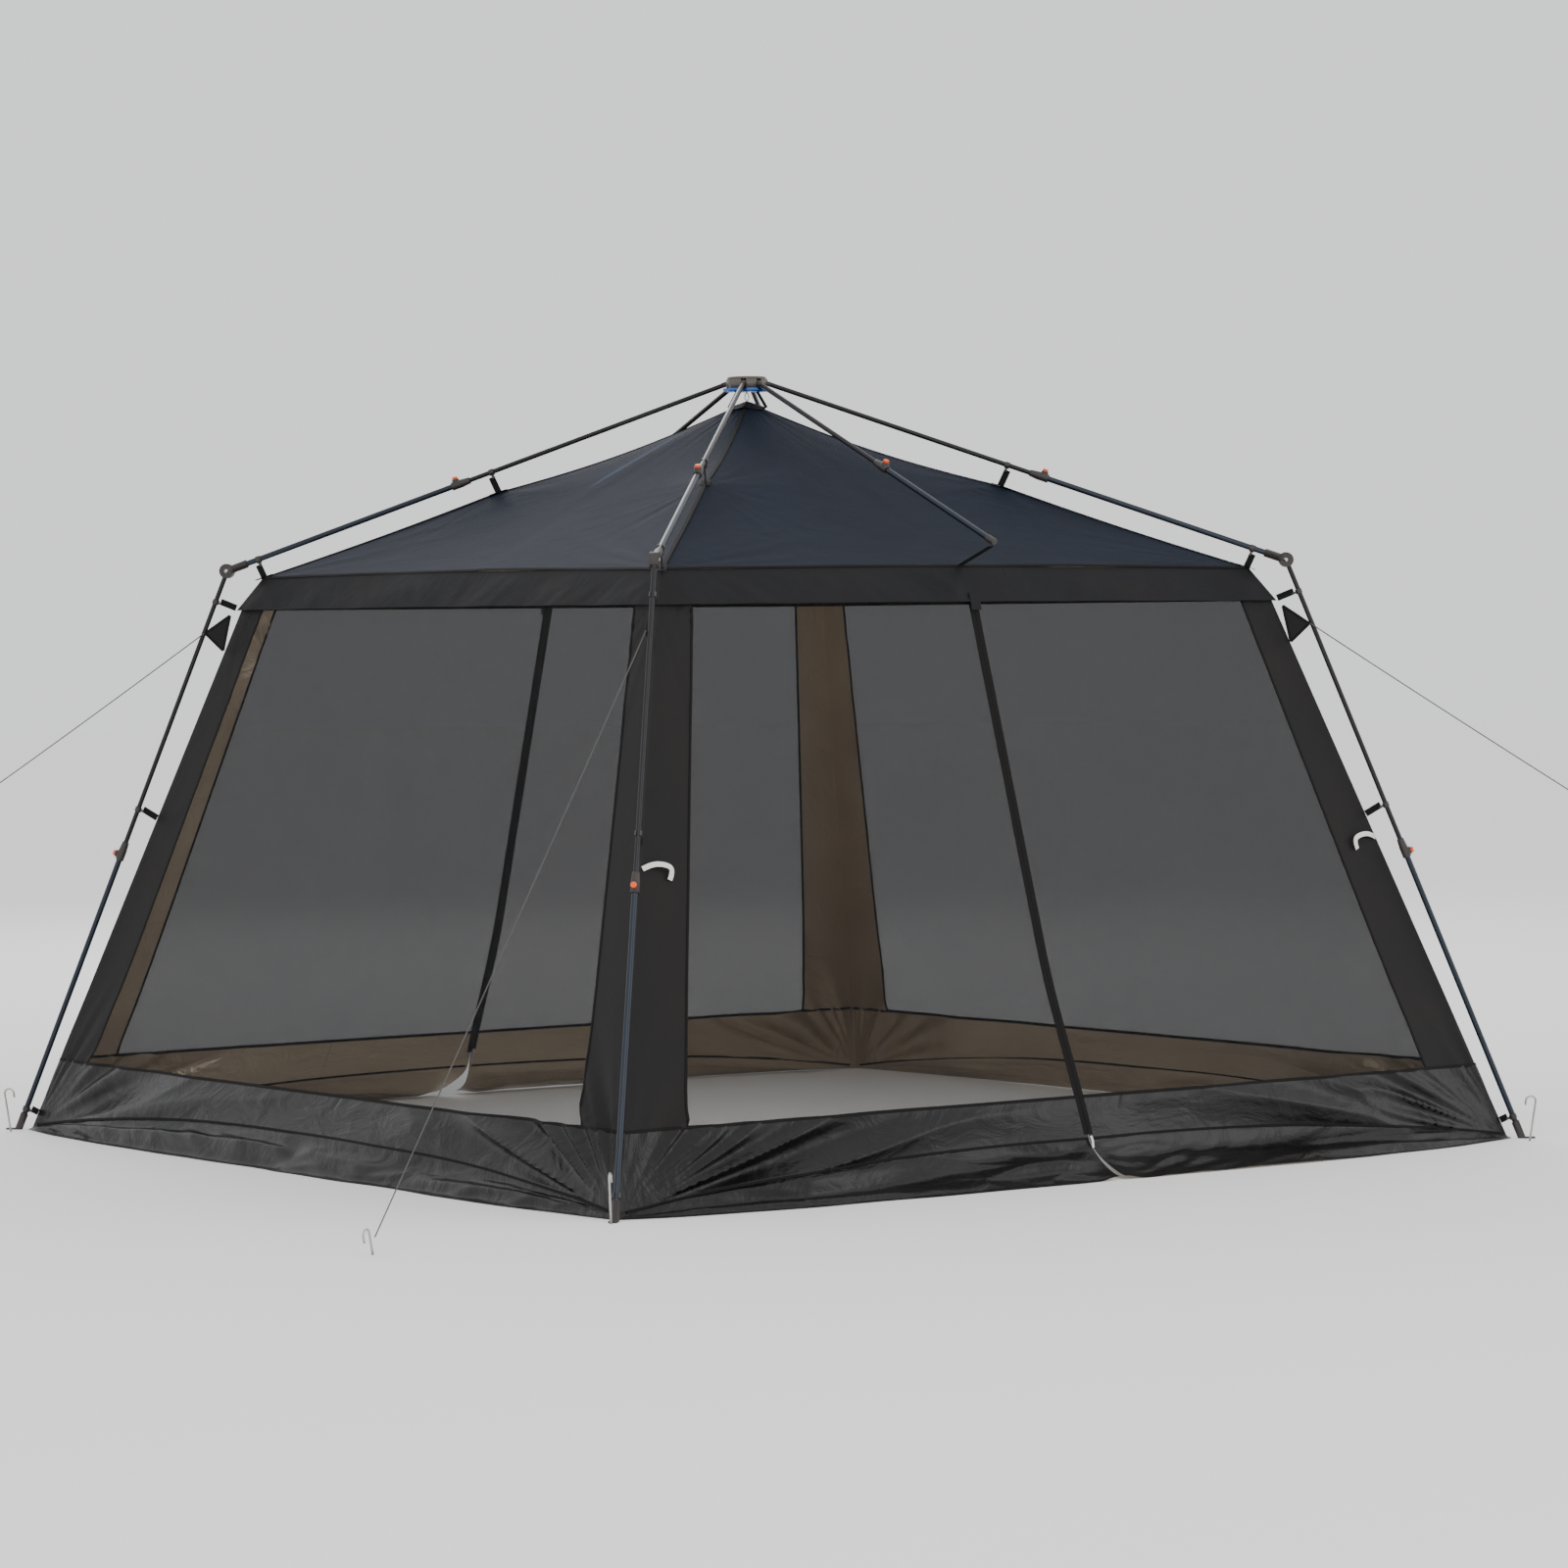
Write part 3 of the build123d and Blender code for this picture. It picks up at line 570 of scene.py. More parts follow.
def cloth(name, columns, rows, shape, size, outside, inside=silver_back):
    """A closed sheet of that width and length; shape(i, j) gives its outer face, for i and j from 0 to 1."""
    bm = bmesh.new()
    grid = [[shape(i / columns, j / rows) for j in range(rows + 1)] for i in range(columns + 1)]
    centre = sum((p for line in grid for p in line), Vector()) / ((columns + 1) * (rows + 1))
    quarter = grid[columns // 4][rows // 2]
    du = grid[columns // 4 + 1][rows // 2] - quarter
    dv = grid[columns // 4][rows // 2 + 1] - quarter
    if du.cross(dv).dot(centre - Vector((0, 0, 1))) < 0:
        grid = grid[::-1]
    faces = []
    outer = [[bm.verts.new(p) for p in line] for line in grid]
    for i in range(columns):
        for j in range(rows):
            corners = (outer[i][j], outer[i + 1][j], outer[i + 1][j + 1], outer[i][j + 1])
            faces.append(bm.faces.new(corners))
    bm.normal_update()
    inner = [[bm.verts.new(v.co - v.normal * CLOTH) for v in line] for line in outer]
    for i in range(columns):
        for j in range(rows):
            back = bm.faces.new((inner[i][j], inner[i][j + 1], inner[i + 1][j + 1], inner[i + 1][j]))
            back.material_index = 1
    for i in range(columns):
        bm.faces.new((outer[i + 1][0], outer[i][0], inner[i][0], inner[i + 1][0]))
        bm.faces.new((outer[i][rows], outer[i + 1][rows], inner[i + 1][rows], inner[i][rows]))
    for j in range(rows):
        bm.faces.new((outer[0][j], outer[0][j + 1], inner[0][j + 1], inner[0][j]))
        bm.faces.new((outer[columns][j + 1], outer[columns][j], inner[columns][j], inner[columns][j + 1]))
    place = {}
    for i in range(columns + 1):
        for j in range(rows + 1):
            place[outer[i][j]] = place[inner[i][j]] = (i / columns * size[0], j / rows * size[1])
    threads = bm.loops.layers.uv.new("threads")
    for face in bm.faces:
        for loop in face.loops:
            loop[threads].uv = place[loop.vert]
    return finish_mesh(name, bm, [outside, inside], sharp=70)


def add_ribbon(bm, points, facing, width, thick):
    """Adds a flat band along the points to bm; facing is the way its flat face looks."""
    threads = bm.loops.layers.uv.verify()
    rings, run = [], 0.0
    for k, point in enumerate(points):
        way = (points[min(k + 1, len(points) - 1)] - points[max(k - 1, 0)]).normalized()
        look = facing[k] if isinstance(facing, list) else facing
        side = way.cross(look).normalized() * (width / 2)
        lift = side.cross(way).normalized() * (thick / 2)
        ring = [bm.verts.new(point + x) for x in (-side - lift, side - lift, side + lift, -side + lift)]
        run += (point - points[max(k - 1, 0)]).length
        rings.append((ring, run))
    made = [bm.faces.new(rings[0][0][::-1]), bm.faces.new(rings[-1][0])]
    for (low, _), (high, _) in zip(rings, rings[1:]):
        made += [bm.faces.new((low[q], low[(q + 1) % 4], high[(q + 1) % 4], high[q])) for q in range(4)]
    runs = {v: (q * width / 3, run) for ring, run in rings for q, v in enumerate(ring)}
    for face in made:
        for loop in face.loops:
            loop[threads].uv = runs[loop.vert]
    bmesh.ops.recalc_face_normals(bm, faces=made)


def ribbon(name, points, facing, width, thick, finish):
    bm = bmesh.new()
    add_ribbon(bm, points, facing, width, thick)
    return finish_mesh(name, bm, [finish])


def add_rod(bm, points, radius, sides=10):
    """Adds a round bar along the points to bm."""
    rings = []
    side = None
    for k, point in enumerate(points):
        way = (points[min(k + 1, len(points) - 1)] - points[max(k - 1, 0)]).normalized()
        side = way.orthogonal() if side is None else side - way * side.dot(way)
        side.normalize()
        other = way.cross(side)
        angles = [2 * math.pi * q / sides for q in range(sides)]
        spokes = [side * math.cos(t) + other * math.sin(t) for t in angles]
        rings.append([bm.verts.new(point + spoke * radius) for spoke in spokes])
    made = [bm.faces.new(rings[0][::-1]), bm.faces.new(rings[-1])]
    for low, high in zip(rings, rings[1:]):
        for q in range(sides):
            after = (q + 1) % sides
            made.append(bm.faces.new((low[q], low[after], high[after], high[q])))
    bmesh.ops.recalc_face_normals(bm, faces=made)


def copied(node_name, finishes, slots):
    """A CAD node's solids as smooth pieces of their own, shortest first, each with its finish and slot."""
    bm = bmesh.new()
    bm.from_mesh(frame["nodes"][node_name].data)
    bmesh.ops.remove_doubles(bm, verts=bm.verts, dist=1e-6)
    whole = finish_mesh(node_name + "_whole", bm, [])
    bpy.context.view_layer.objects.active = whole
    for other in bpy.context.selected_objects:
        other.select_set(False)
    whole.select_set(True)
    bpy.ops.mesh.separate(type="LOOSE")
    solids = sorted(bpy.context.selected_objects, key=lambda o: (round(o.dimensions.length, 4), o.name))
    body = frame["nodes"][node_name]["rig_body"]
    for k, solid in enumerate(solids):
        kind = min(k, len(finishes) - 1)
        solid.name = f"{node_name}_{k + 1}" if len(solids) > 1 else f"{node_name}_shown"
        solid.data.name = solid.name
        solid.data.materials.clear()
        solid.data.materials.append(finishes[kind])
        solid.select_set(False)
        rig.ride(solid, body)
        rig.replaces(solid, node_name)
        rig.slot(solid, slots[kind])
    return solids


# --- geometry nodes: small parts that repeat along a line ------------------------------------------------


def row_tree(name, finish):
    """A tree that sets small blocks along a line, spaced evenly, each turned to follow it."""
    tree = bpy.data.node_groups.new(name, "GeometryNodeTree")
    tree.interface.new_socket("Line", in_out="INPUT", socket_type="NodeSocketGeometry")
    for size in ("Spacing", "Length", "Width", "Height"):
        tree.interface.new_socket(size, in_out="INPUT", socket_type="NodeSocketFloat")
    tree.interface.new_socket("Blocks", in_out="OUTPUT", socket_type="NodeSocketGeometry")
    sizes = node(tree, "NodeGroupInput").outputs
    line = node(tree, "GeometryNodeMeshToCurve", {"Mesh": sizes["Line"]})
    spaced = {"Curve": line.outputs[0], "Length": sizes["Spacing"]}
    places = node(tree, "GeometryNodeCurveToPoints", spaced, mode="LENGTH")
    measures = {"X": sizes["Width"], "Y": sizes["Height"], "Z": sizes["Length"]}
    size = node(tree, "ShaderNodeCombineXYZ", measures)
    block = node(tree, "GeometryNodeMeshCube", {"Size": size.outputs[0]})
    set_out = {name: places.outputs[name] for name in ("Points", "Rotation")}
    blocks = node(tree, "GeometryNodeInstanceOnPoints", {**set_out, "Instance": block.outputs[0]})
    real = node(tree, "GeometryNodeRealizeInstances", {"Geometry": blocks.outputs[0]})
    done = node(tree, "GeometryNodeSetMaterial", {"Geometry": real.outputs[0], "Material": finish})
    node(tree, "NodeGroupOutput", {"Blocks": done.outputs[0]})
    return tree


def row(name, points, tree, spacing, length, width, height):
    """A row of small blocks along the points, as a plain mesh."""
    mesh = bpy.data.meshes.new(name)
    mesh.from_pydata(points, [(k, k + 1) for k in range(len(points) - 1)], [])
    made = add_object(name, mesh, [])
    rows = made.modifiers.new("rows", "NODES")
    rows.node_group = tree
    values = {"Spacing": spacing, "Length": length, "Width": width, "Height": height}
    for socket in tree.interface.items_tree:
        if socket.name in values:
            rows[socket.identifier] = values[socket.name]
    seen = made.evaluated_get(bpy.context.evaluated_depsgraph_get())
    plain = bpy.data.meshes.new_from_object(seen)
    made.modifiers.clear()
    made.data = plain
    bpy.data.meshes.remove(mesh)
    return made


# --- cords ---------------------------------------------------------------------------------------------


def guy_route(corner):
    """The guy's points: straight from its tab to its far end, with a slight sag."""
    start = arm_point(corner, *GUY_START, GUY_SIDE[corner] * GUY_BESIDE)
    if corner in GUY_RUNS:
        run, slope = GUY_RUNS[corner]
        end = start + outward(corner) * run - Vector((0, 0, run * slope))
    else:
        end = Vector(GUY_PEG_HOOK)
    return [start, start.lerp(end, 0.5) - Vector((0, 0, GUY_SAG)), end]


def smooth_path(name, points, steps):
    """The points of a smooth curve along a route, with that many steps from one point to the next."""
    curve = bpy.data.curves.new(name, "CURVE")
    curve.dimensions = "3D"
    curve.resolution_u = steps
    spline = curve.splines.new("NURBS")
    spline.points.add(len(points) - 1)
    for place, point in zip(spline.points, points):
        place.co = (*point, 1)
    spline.order_u = 3
    spline.use_endpoint_u = True
    bare = add_object(name, curve, [])
    line = bpy.data.meshes.new_from_object(bare.evaluated_get(bpy.context.evaluated_depsgraph_get()))
    path = [v.co.copy() for v in line.vertices]
    bpy.data.objects.remove(bare)
    return path


def guy_line(name, points):
    """The guy's round cord along a smooth curve, and that curve's own points."""
    path = smooth_path(name + "_route", points, 16)
    bm = bmesh.new()
    add_rod(bm, path, GUY_R, 8)
    return finish_mesh(name, bm, [cord_cover]), path


def tied_eye(name, end, way):
    """The eye at a guy's far end, with the whipping of its knot."""
    sideways = way.cross(Vector((0, 0, 1))).normalized()
    down = sideways.cross(way)
    middle = end + way * (EYE_R + GUY_R)
    turns = [2 * math.pi * q / 28 for q in range(29)]
    bm = bmesh.new()
    add_rod(bm, [middle - (way * math.cos(t) + down * math.sin(t)) * EYE_R for t in turns], GUY_R, 10)
    whipping = []
    for q in range(41):  # four turns of ten steps
        t = 2 * math.pi * q / 10
        off = (down * math.cos(t) + sideways * math.sin(t)) * 0.0034
        whipping.append(end - way * (0.001 + 0.0038 * t / 6.3) + off)
    add_rod(bm, whipping, 0.0018, 8)
    return finish_mesh(name, bm, [cord_cover])


GUYS = {"front": "front_left", "left": "back_left", "right": "front_right"}
for label, corner in GUYS.items():
    route = guy_route(corner)
    guy, path = guy_line(f"guy_cord_{label}", route)
    facts = {"exit": route[0], "length": (route[-1] - route[0]).length, "diameter": 2 * GUY_R}
    facts.update(stiffness="limp", lay="taut", path=path)
    if label == "front":
        copied("guy_peg", [zinc], ["bright_steel"])
        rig.cord(guy, far_end="object", **facts)
    else:
        eye = tied_eye(f"guy_eye_{label}", route[-1], (route[-1] - route[0]).normalized())
        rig.ride(eye, "hub")
        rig.slot(eye, "guy_cord")
        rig.cord(guy, far_end="knot", with_pieces=[eye], **facts)
    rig.blend(guy, f"rafter_{corner}", "hub", start=route[0], end=route[-1])
    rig.replaces(guy, f"guy_line_{label}")
    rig.slot(guy, "guy_cord")


# --- the cloth's shape ---------------------------------------------------------------------------------


def halves(corner):
    """The two sides that meet at a corner: the name, the way out and the way along to the corner."""
    sx, sy = CORNERS[corner]
    beside = ("left" if sx < 0 else "right", Vector((sx, 0, 0)), Vector((0, sy, 0)))
    door = ("front" if sy < 0 else "back", Vector((0, sy, 0)), Vector((sx, 0, 0)))
    return beside, door


def wrapped(corner, i):
    """The side that i, from 0 to 1, has reached on its way round a corner, and how near the corner it is."""
    turn = 2 * i - 1
    return halves(corner)[0 if turn < 0 else 1], 1 - abs(turn)


def seed(side, corner):
    """A fixed number for each half of a side, so that its creases are its own."""
    return 7.3 * list(CORNERS).index(corner) + 3.1 * ["front", "back", "left", "right"].index(side[0])


def fan(along, across, pleats, key):
    """Creases that fan out from a point, between about -1 and 1; along and across are measured from it."""
    angle = math.atan2(across, along)
    reach = math.hypot(along, across) * 0.8
    sharp = 1 - 3.2 * abs(noise.noise(Vector((angle * pleats, reach, key))))
    soft = noise.noise(Vector((angle * pleats * 1.8, reach * 1.7, key + 40)))
    return sharp * 0.75 + soft * 0.3


def wall_half(z):
    return lerp(WALL_LOW[0], WALL_TOP[0], (z - WALL_LOW[1]) / (WALL_TOP[1] - WALL_LOW[1]))


def strip_width(z):
    return lerp(STRIP_LOW, STRIP_TOP, (z - WALL_LOW[1]) / (WALL_TOP[1] - WALL_LOW[1]))


BELLY_LOW, BELLY_HIGH = 0.026, -0.028  # how far a side's middle stands out at the ground, and above it
FOOT_FOLD, FOOT_PLEATS = 0.034, 6.5  # depth of the folds that fan out from a foot, and how close they are
TOP_TUG, TOP_PLEATS = 0.004, 5.0  # the same at a wall's top corner
WALL_DRIFT = 0.006


def wall_out(side, corner, a, z):
    """How far out a side's wall is, a from its middle at height z."""
    half = wall_half(z)
    key = seed(side, corner)
    free = 1 - min(1.0, a / half) ** 2
    belly = lerp(BELLY_LOW, BELLY_HIGH, smooth(0.05, 0.7, z)) * free
    beside = smooth(0.0, 0.3, a)
    to_foot = max(0.0, WALL_LOW[0] - a)
    reach = math.hypot(to_foot, z)
    low = smooth(0.06, 0.50, reach) * math.exp(-max(0.0, z - 0.20) / 0.10)
    low *= math.exp(-max(0.0, reach - 0.9) / 0.8)
    folds = FOOT_FOLD * low * beside * fan(to_foot + 0.001, z, FOOT_PLEATS, key)
    to_top, below = max(0.0, WALL_TOP[0] - a), WALL_TOP[1] - z
    high = math.exp(-math.hypot(to_top, below) / 0.35)
    tug = TOP_TUG * high * fan(to_top + 0.001, below, TOP_PLEATS, key + 9)
    drift = WALL_DRIFT * free * noise.noise(Vector((a * 1.4, z * 1.1, key + 21)))
    return half + belly + folds + (tug + drift) * smooth(0.0, 0.05, half - a) * beside


def wall_point(side, corner, a, z, proud=0.0):
    return side[1] * (wall_out(side, corner, a, z) + proud) + side[2] * a + Vector((0, 0, z))


def seam_point(share):
    """The eave's seam: distance along, distance out and height."""
    free = 1 - share * share
    return ROOF_HALF * share, ROOF_HALF - SEAM_IN * free, ROOF_Z + SEAM_UP * free


def ridge_dip(r):
    """How far a ridge hangs below the straight line between its straps."""
    if r < RIDGE_STRAPS[0]:
        return 0.023 * math.sin(math.pi * r / RIDGE_STRAPS[0])
    return 0.006 * math.sin(math.pi * (r - RIDGE_STRAPS[0]) / (RIDGE_STRAPS[1] - RIDGE_STRAPS[0]))


ROOF_SLACK = 0.024
CORNER_TUG, STRAP_TUG, PEAK_TUG, ROOF_DRIFT = 0.006, 0.005, 0.004, 0.004
GORE_REACH = 1.33  # a gore's length to the nearest centimetre, for placing its creases


def roof_lift(side, corner, share, down):
    """The creases in a half gore: round its corner, its strap and the peak, and a slow drift."""
    key = seed(side, corner)
    a = seam_point(share)[0] * down
    to_corner, to_eave = ROOF_HALF - a, (1 - down) * GORE_REACH
    tug = CORNER_TUG * math.exp(-math.hypot(to_corner, to_eave) / 0.3)
    tug *= fan(to_corner + 0.001, to_eave, 6.0, key)
    strap_a = RIDGE_STRAPS[0] / 2**0.5
    to_strap = (strap_a - a, (down - RIDGE_STRAPS[0] / ROOF_HALF / 2**0.5) * GORE_REACH)
    tug += STRAP_TUG * math.exp(-math.hypot(*to_strap) / 0.16) * fan(*to_strap, 4.0, key + 5)
    peak = PEAK_TUG * math.exp(-down / 0.12) * smooth(0, 0.06, down) * fan(a + 0.001, down, 5.0, key + 14)
    slow = noise.noise(Vector((a * 2.2, down * 1.6, key + 30)))
    drift = ROOF_DRIFT * (1 - share * share) * smooth(0, 0.2, down) * slow
    return (tug + peak + drift) * (0.25 + 0.75 * min(1.0, 4 * (1 - share))) * smooth(0, 0.12, share)


def roof_shape(corner):
    def shape(i, j):
        side, share = wrapped(corner, i)
        down = lerp(PEAK_HOLE, 1, j)
        a, o, z = seam_point(share)
        a, o, z = a * down, o * down, lerp(PEAK_Z, z, down)
        slack = ROOF_SLACK * math.sin(math.pi * down) * (1 - share * share) * down
        dip = ridge_dip(down * ROOF_HALF * 2**0.5) * share**2
        lift = roof_lift(side, corner, share, down)
        return side[1] * (o + lift * 0.4) + side[2] * a + Vector((0, 0, z - slack - dip + lift * 0.9))

    return shape


BAND_BELLY, BAND_RIPPLE, BAND_FINE_RIPPLE = 0.004, 0.008, 0.003
BAND_PULL = 0.026  # how far the band's edge is drawn in at the middle of a side


def band_shape(corner):
    def shape(i, j):
        side, share = wrapped(corner, i)
        a_top, o_top, z_top = seam_point(share)
        free = 1 - share * share
        a = lerp(a_top, BAND_LOW[0] * share, j)
        o = lerp(o_top + 0.003, BAND_LOW[0] - BAND_PULL * free, j)
        z = lerp(z_top - 0.003, BAND_LOW[1] + 0.003 * free, j)
        key = seed(side, corner)
        hang = math.sin(math.pi * min(1.0, j * 0.75)) * smooth(0, 0.08, 1 - share) * smooth(0, 0.08, share)
        ripple = noise.noise(Vector((a * 5.0, j * 0.8, key + 3))) * BAND_RIPPLE
        ripple += noise.noise(Vector((a * 16.0 + j * 2, j * 1.5, key + 8))) * BAND_FINE_RIPPLE
        up_and_down = Vector((0, 0, z + ripple * 0.3 * hang))
        return side[1] * (o + (BAND_BELLY + ripple) * hang) + side[2] * a + up_and_down

    return shape


def strip_shape(corner):
    def shape(i, j):
        side, share = wrapped(corner, i)
        z = lerp(WALL_TOP[1] + 0.008, SKIRT_Z, j)
        a = wall_half(z) - strip_width(z) * (1 - share)
        return wall_point(side, corner, a, z, 0.0006)

    return shape


def netting_shape(side, corner):
    gap = ZIP_HALF if side[0] in DOORS else 0.0

    def shape(i, j):
        z = lerp(WALL_TOP[1] + 0.004, SKIRT_Z, j)
        a = lerp(gap, wall_half(z) - strip_width(z) + 0.004, i)
        return wall_point(side, corner, a, z)

    return shape


def hem_z(share):
    """Height of the seam between the skirt and its flap."""
    return lerp(HEM_CORNER, HEM_MIDDLE, 1 - share**2.6)


def hem_share(share):
    """Packs the skirt's columns closer towards the corner, where its creases meet."""
    return 1 - (1 - share) ** 1.5


def parted(side, a, z):
    """How far a door's half is drawn aside below its zip's slider."""
    if side[0] not in DOORS:
        return 0.0
    below = smooth(0.0, 1.0, (SLIDER_Z[side[0]] - z) / SLIDER_Z[side[0]])
    return 0.001 + PARTED[side[0]] * below**2 * math.exp(-((a / 0.22) ** 2))


SKIRT_TURN = 0.5  # the share of the skirt's length at which it turns into its flap
EDGE_WAVE, LONG_FOLD, RUMPLE_FAR, RUMPLE_NEAR = 0.022, 0.042, 0.002, 0.009
DOOR_LIFT = 0.014  # how far the flap's edge stands off the ground at a door's middle
GROUND_GAP = 0.0025


def flap_point(side, corner, share, fall):
    """The flap on the ground, where fall runs from 0 at its hem to 1 at its edge."""
    hem = hem_z(share)
    key = seed(side, corner)
    a = lerp(wall_half(hem), WALL_LOW[0], fall) * share
    start = wall_out(side, corner, wall_half(hem) * share, hem)
    end = WALL_LOW[0] + 0.018 + (FLAP_OUT[side[0]] - WALL_LOW[0] - 0.024) * (1 - share**5)
    free = smooth(0, 0.15, 1 - share) * smooth(0, 0.06, share)
    edge = noise.noise(Vector((a * 2.6, key, 5.0))) * EDGE_WAVE * free
    long_fold = noise.noise(Vector((a * 0.9, fall * 3.0, key + 2))) * LONG_FOLD
    near_door = math.exp(-((a / 0.5) ** 2)) if side[0] in DOORS else 0.25
    rumple = 1 - 3 * abs(noise.noise(Vector((a * 5.0 + fall * 2, fall * 3.5, key + 17))))
    crumple = rumple * lerp(RUMPLE_FAR, RUMPLE_NEAR, near_door)
    loose = math.sin(math.pi * min(1.0, fall * 0.9)) * free
    o = lerp(start, end + min(edge, 0.004), fall**1.4) + (long_fold * 0.5 + crumple) * loose
    z = hem * (1 - fall) ** 1.25 + (long_fold + crumple) * loose * 0.8
    if side[0] in DOORS:
        z += DOOR_LIFT * math.exp(-((a / 0.06) ** 2)) * fall
    aside = parted(side, a, min(z, SLIDER_Z[side[0]]) if side[0] in DOORS else z)
    return side[1] * o + side[2] * (a + aside) + Vector((0, 0, max(GROUND_GAP, z)))


def skirt_shape(corner):
    def shape(i, j):
        side, share = wrapped(corner, i)
        share = hem_share(share)
        if j > SKIRT_TURN:
            return flap_point(side, corner, share, (j - SKIRT_TURN) / (1 - SKIRT_TURN))
        z = lerp(SKIRT_Z, hem_z(share), j / SKIRT_TURN)
        a = wall_half(z) * share
        return wall_point(side, corner, a, z, 0.0006) + side[2] * parted(side, a, z)

    return shape


def hang_wall(piece, corner):
    """The walls go with their leg, and gather into its plane as the frame folds."""
    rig.ride(piece, f"leg_{corner}")
    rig.squash(piece, "rafter_fold_front_left", axis=tangent(corner), anchor=(0, 0, 0), keep=0.12)


def hang_roof(piece, corner):
    """A quarter of the roof goes with its rafter, and folds like an umbrella."""
    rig.ride(piece, f"rafter_{corner}")
    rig.squash(piece, "rafter_fold_front_left", axis=tangent(corner), anchor=(0, 0, 0), keep=0.43)


def facing(side):
    return (side[1] + Vector((0, 0, 0.3))).normalized()


def bindings(corner):
    """The tapes sewn over the edges of the netting, the strips and the skirt."""
    bm = bmesh.new()
    steps = [k / 70 for k in range(71)]
    for side in halves(corner):
        gap = ZIP_HALF if side[0] in DOORS else 0.0
        top_end, low_end = wall_half(WALL_TOP[1]), wall_half(SKIRT_Z) - 0.002
        top = [wall_point(side, corner, lerp(gap, top_end, t), WALL_TOP[1] - 0.010) for t in steps]
        low = [wall_point(side, corner, lerp(gap, low_end, t), SKIRT_Z, 0.0004) for t in steps]
        upright = [lerp(WALL_TOP[1] - 0.01, SKIRT_Z, t) for t in steps]
        beside = [wall_point(side, corner, wall_half(z) - strip_width(z), z, 0.0004) for z in upright]
        shares = [lerp(gap / 1.8, 0.985, t) for t in steps]
        hem = [wall_point(side, corner, wall_half(hem_z(t)) * t, hem_z(t), 0.001) for t in shares]
        add_ribbon(bm, top, facing(side), 0.010, 0.0032)
        add_ribbon(bm, low, facing(side), 0.010, 0.0036)
        add_ribbon(bm, beside, facing(side), 0.008, 0.0034)
        add_ribbon(bm, hem, facing(side), 0.008, 0.0040)
    return finish_mesh(f"wall_binding_{corner}", bm, [binding])


def ridge_seam(corner):
    """The felled seam down a ridge and round the eave."""
    bm = bmesh.new()
    shape = roof_shape(corner)
    lift = Vector((0, 0, 0.0012))
    add_ribbon(bm, [shape(0.5, k / 60) + lift for k in range(61)], Vector((0, 0, 1)), 0.012, 0.002)
    for low, high in ((0.0, 0.5), (0.5, 1.0)):
        side = halves(corner)[0 if high < 0.6 else 1]
        line = [shape(lerp(low, high, k / 60), 1.0) + side[1] * 0.0015 for k in range(61)]
        add_ribbon(bm, line, (side[1] + Vector((0, 0, 1))).normalized(), 0.009, 0.003)
    return finish_mesh(f"roof_seams_{corner}", bm, [binding])


KITE = (1.66, 1.79)  # a quarter of the roof laid flat: two half gores that share a ridge
KITE_AREA = ROOF_HALF * GORE_LENGTH
BAND_SIZE = (2.46, 0.123)
STRIP_SIZE = (0.39, 1.64)
NETTING_SIZE = (1.56, 1.64)
NETTING_AREA = 2.3  # less than its width by its length, because it narrows upwards
SKIRT_SIZE = (3.55, 0.41)

for corner in CORNERS:
    roof = cloth(f"roof_quarter_{corner}", 120, 84, roof_shape(corner), KITE, roof_outside)
    hang_roof(roof, corner)
    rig.replaces(roof, "roof_canopy")
    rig.slot(roof, "roof_polyester")
    seams = ridge_seam(corner)
    hang_roof(seams, corner)
    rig.slot(seams, "roof_polyester")
    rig.sheet(
        roof, flat=KITE, area=KITE_AREA, held="stretched", rests_on=["hanging_straps"], with_pieces=[seams]
    )

    band = cloth(f"eave_band_{corner}", 200, 12, band_shape(corner), BAND_SIZE, band_outside)
    hang_roof(band, corner)
    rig.replaces(band, "eave_band")
    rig.slot(band, "band_polyester")
    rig.sheet(band, flat=BAND_SIZE, held="hung", rests_on=[f"roof_quarter_{corner}"])

    strip = cloth(f"corner_strip_{corner}", 24, 110, strip_shape(corner), STRIP_SIZE, strip_outside)
    hang_wall(strip, corner)
    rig.replaces(strip, "corner_strips")
    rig.slot(strip, "strip_polyester")
    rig.sheet(strip, flat=STRIP_SIZE, held="stretched", rests_on=[f"eave_band_{corner}"])

    skirt = cloth(f"skirt_{corner}", 340, 48, skirt_shape(corner), SKIRT_SIZE, skirt_outside)
    hang_wall(skirt, corner)
    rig.replaces(skirt, "skirt")
    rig.slot(skirt, "skirt_polyester")
    tapes = bindings(corner)
    hang_wall(tapes, corner)
    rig.slot(tapes, "strip_polyester")
    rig.sheet(skirt, flat=SKIRT_SIZE, held="laid", rests_on=[f"corner_strip_{corner}"], with_pieces=[tapes])

    for side in halves(corner):
        name = f"netting_{side[0]}_at_{corner}"
        panel = cloth(name, 60, 80, netting_shape(side, corner), NETTING_SIZE, netting, netting)
        hang_wall(panel, corner)
        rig.replaces(panel, f"wall_mesh_{side[0]}")
        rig.slot(panel, "wall_mesh")
        strip_name = f"corner_strip_{corner}"
        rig.sheet(panel, flat=NETTING_SIZE, area=NETTING_AREA, held="stretched", rests_on=[strip_name])

# --- the frame -----------------------------------------------------------------------------------------

THIN_TUBE = ([nylon, thin_coat], ["fitting_plastic", "thin_tube"])
THICK_TUBE = ([nylon, thick_coat], ["fitting_plastic", "thick_tube"])
CAPPED_TUBE = ([nylon, nylon, thick_coat], ["fitting_plastic", "fitting_plastic", "thick_tube"])

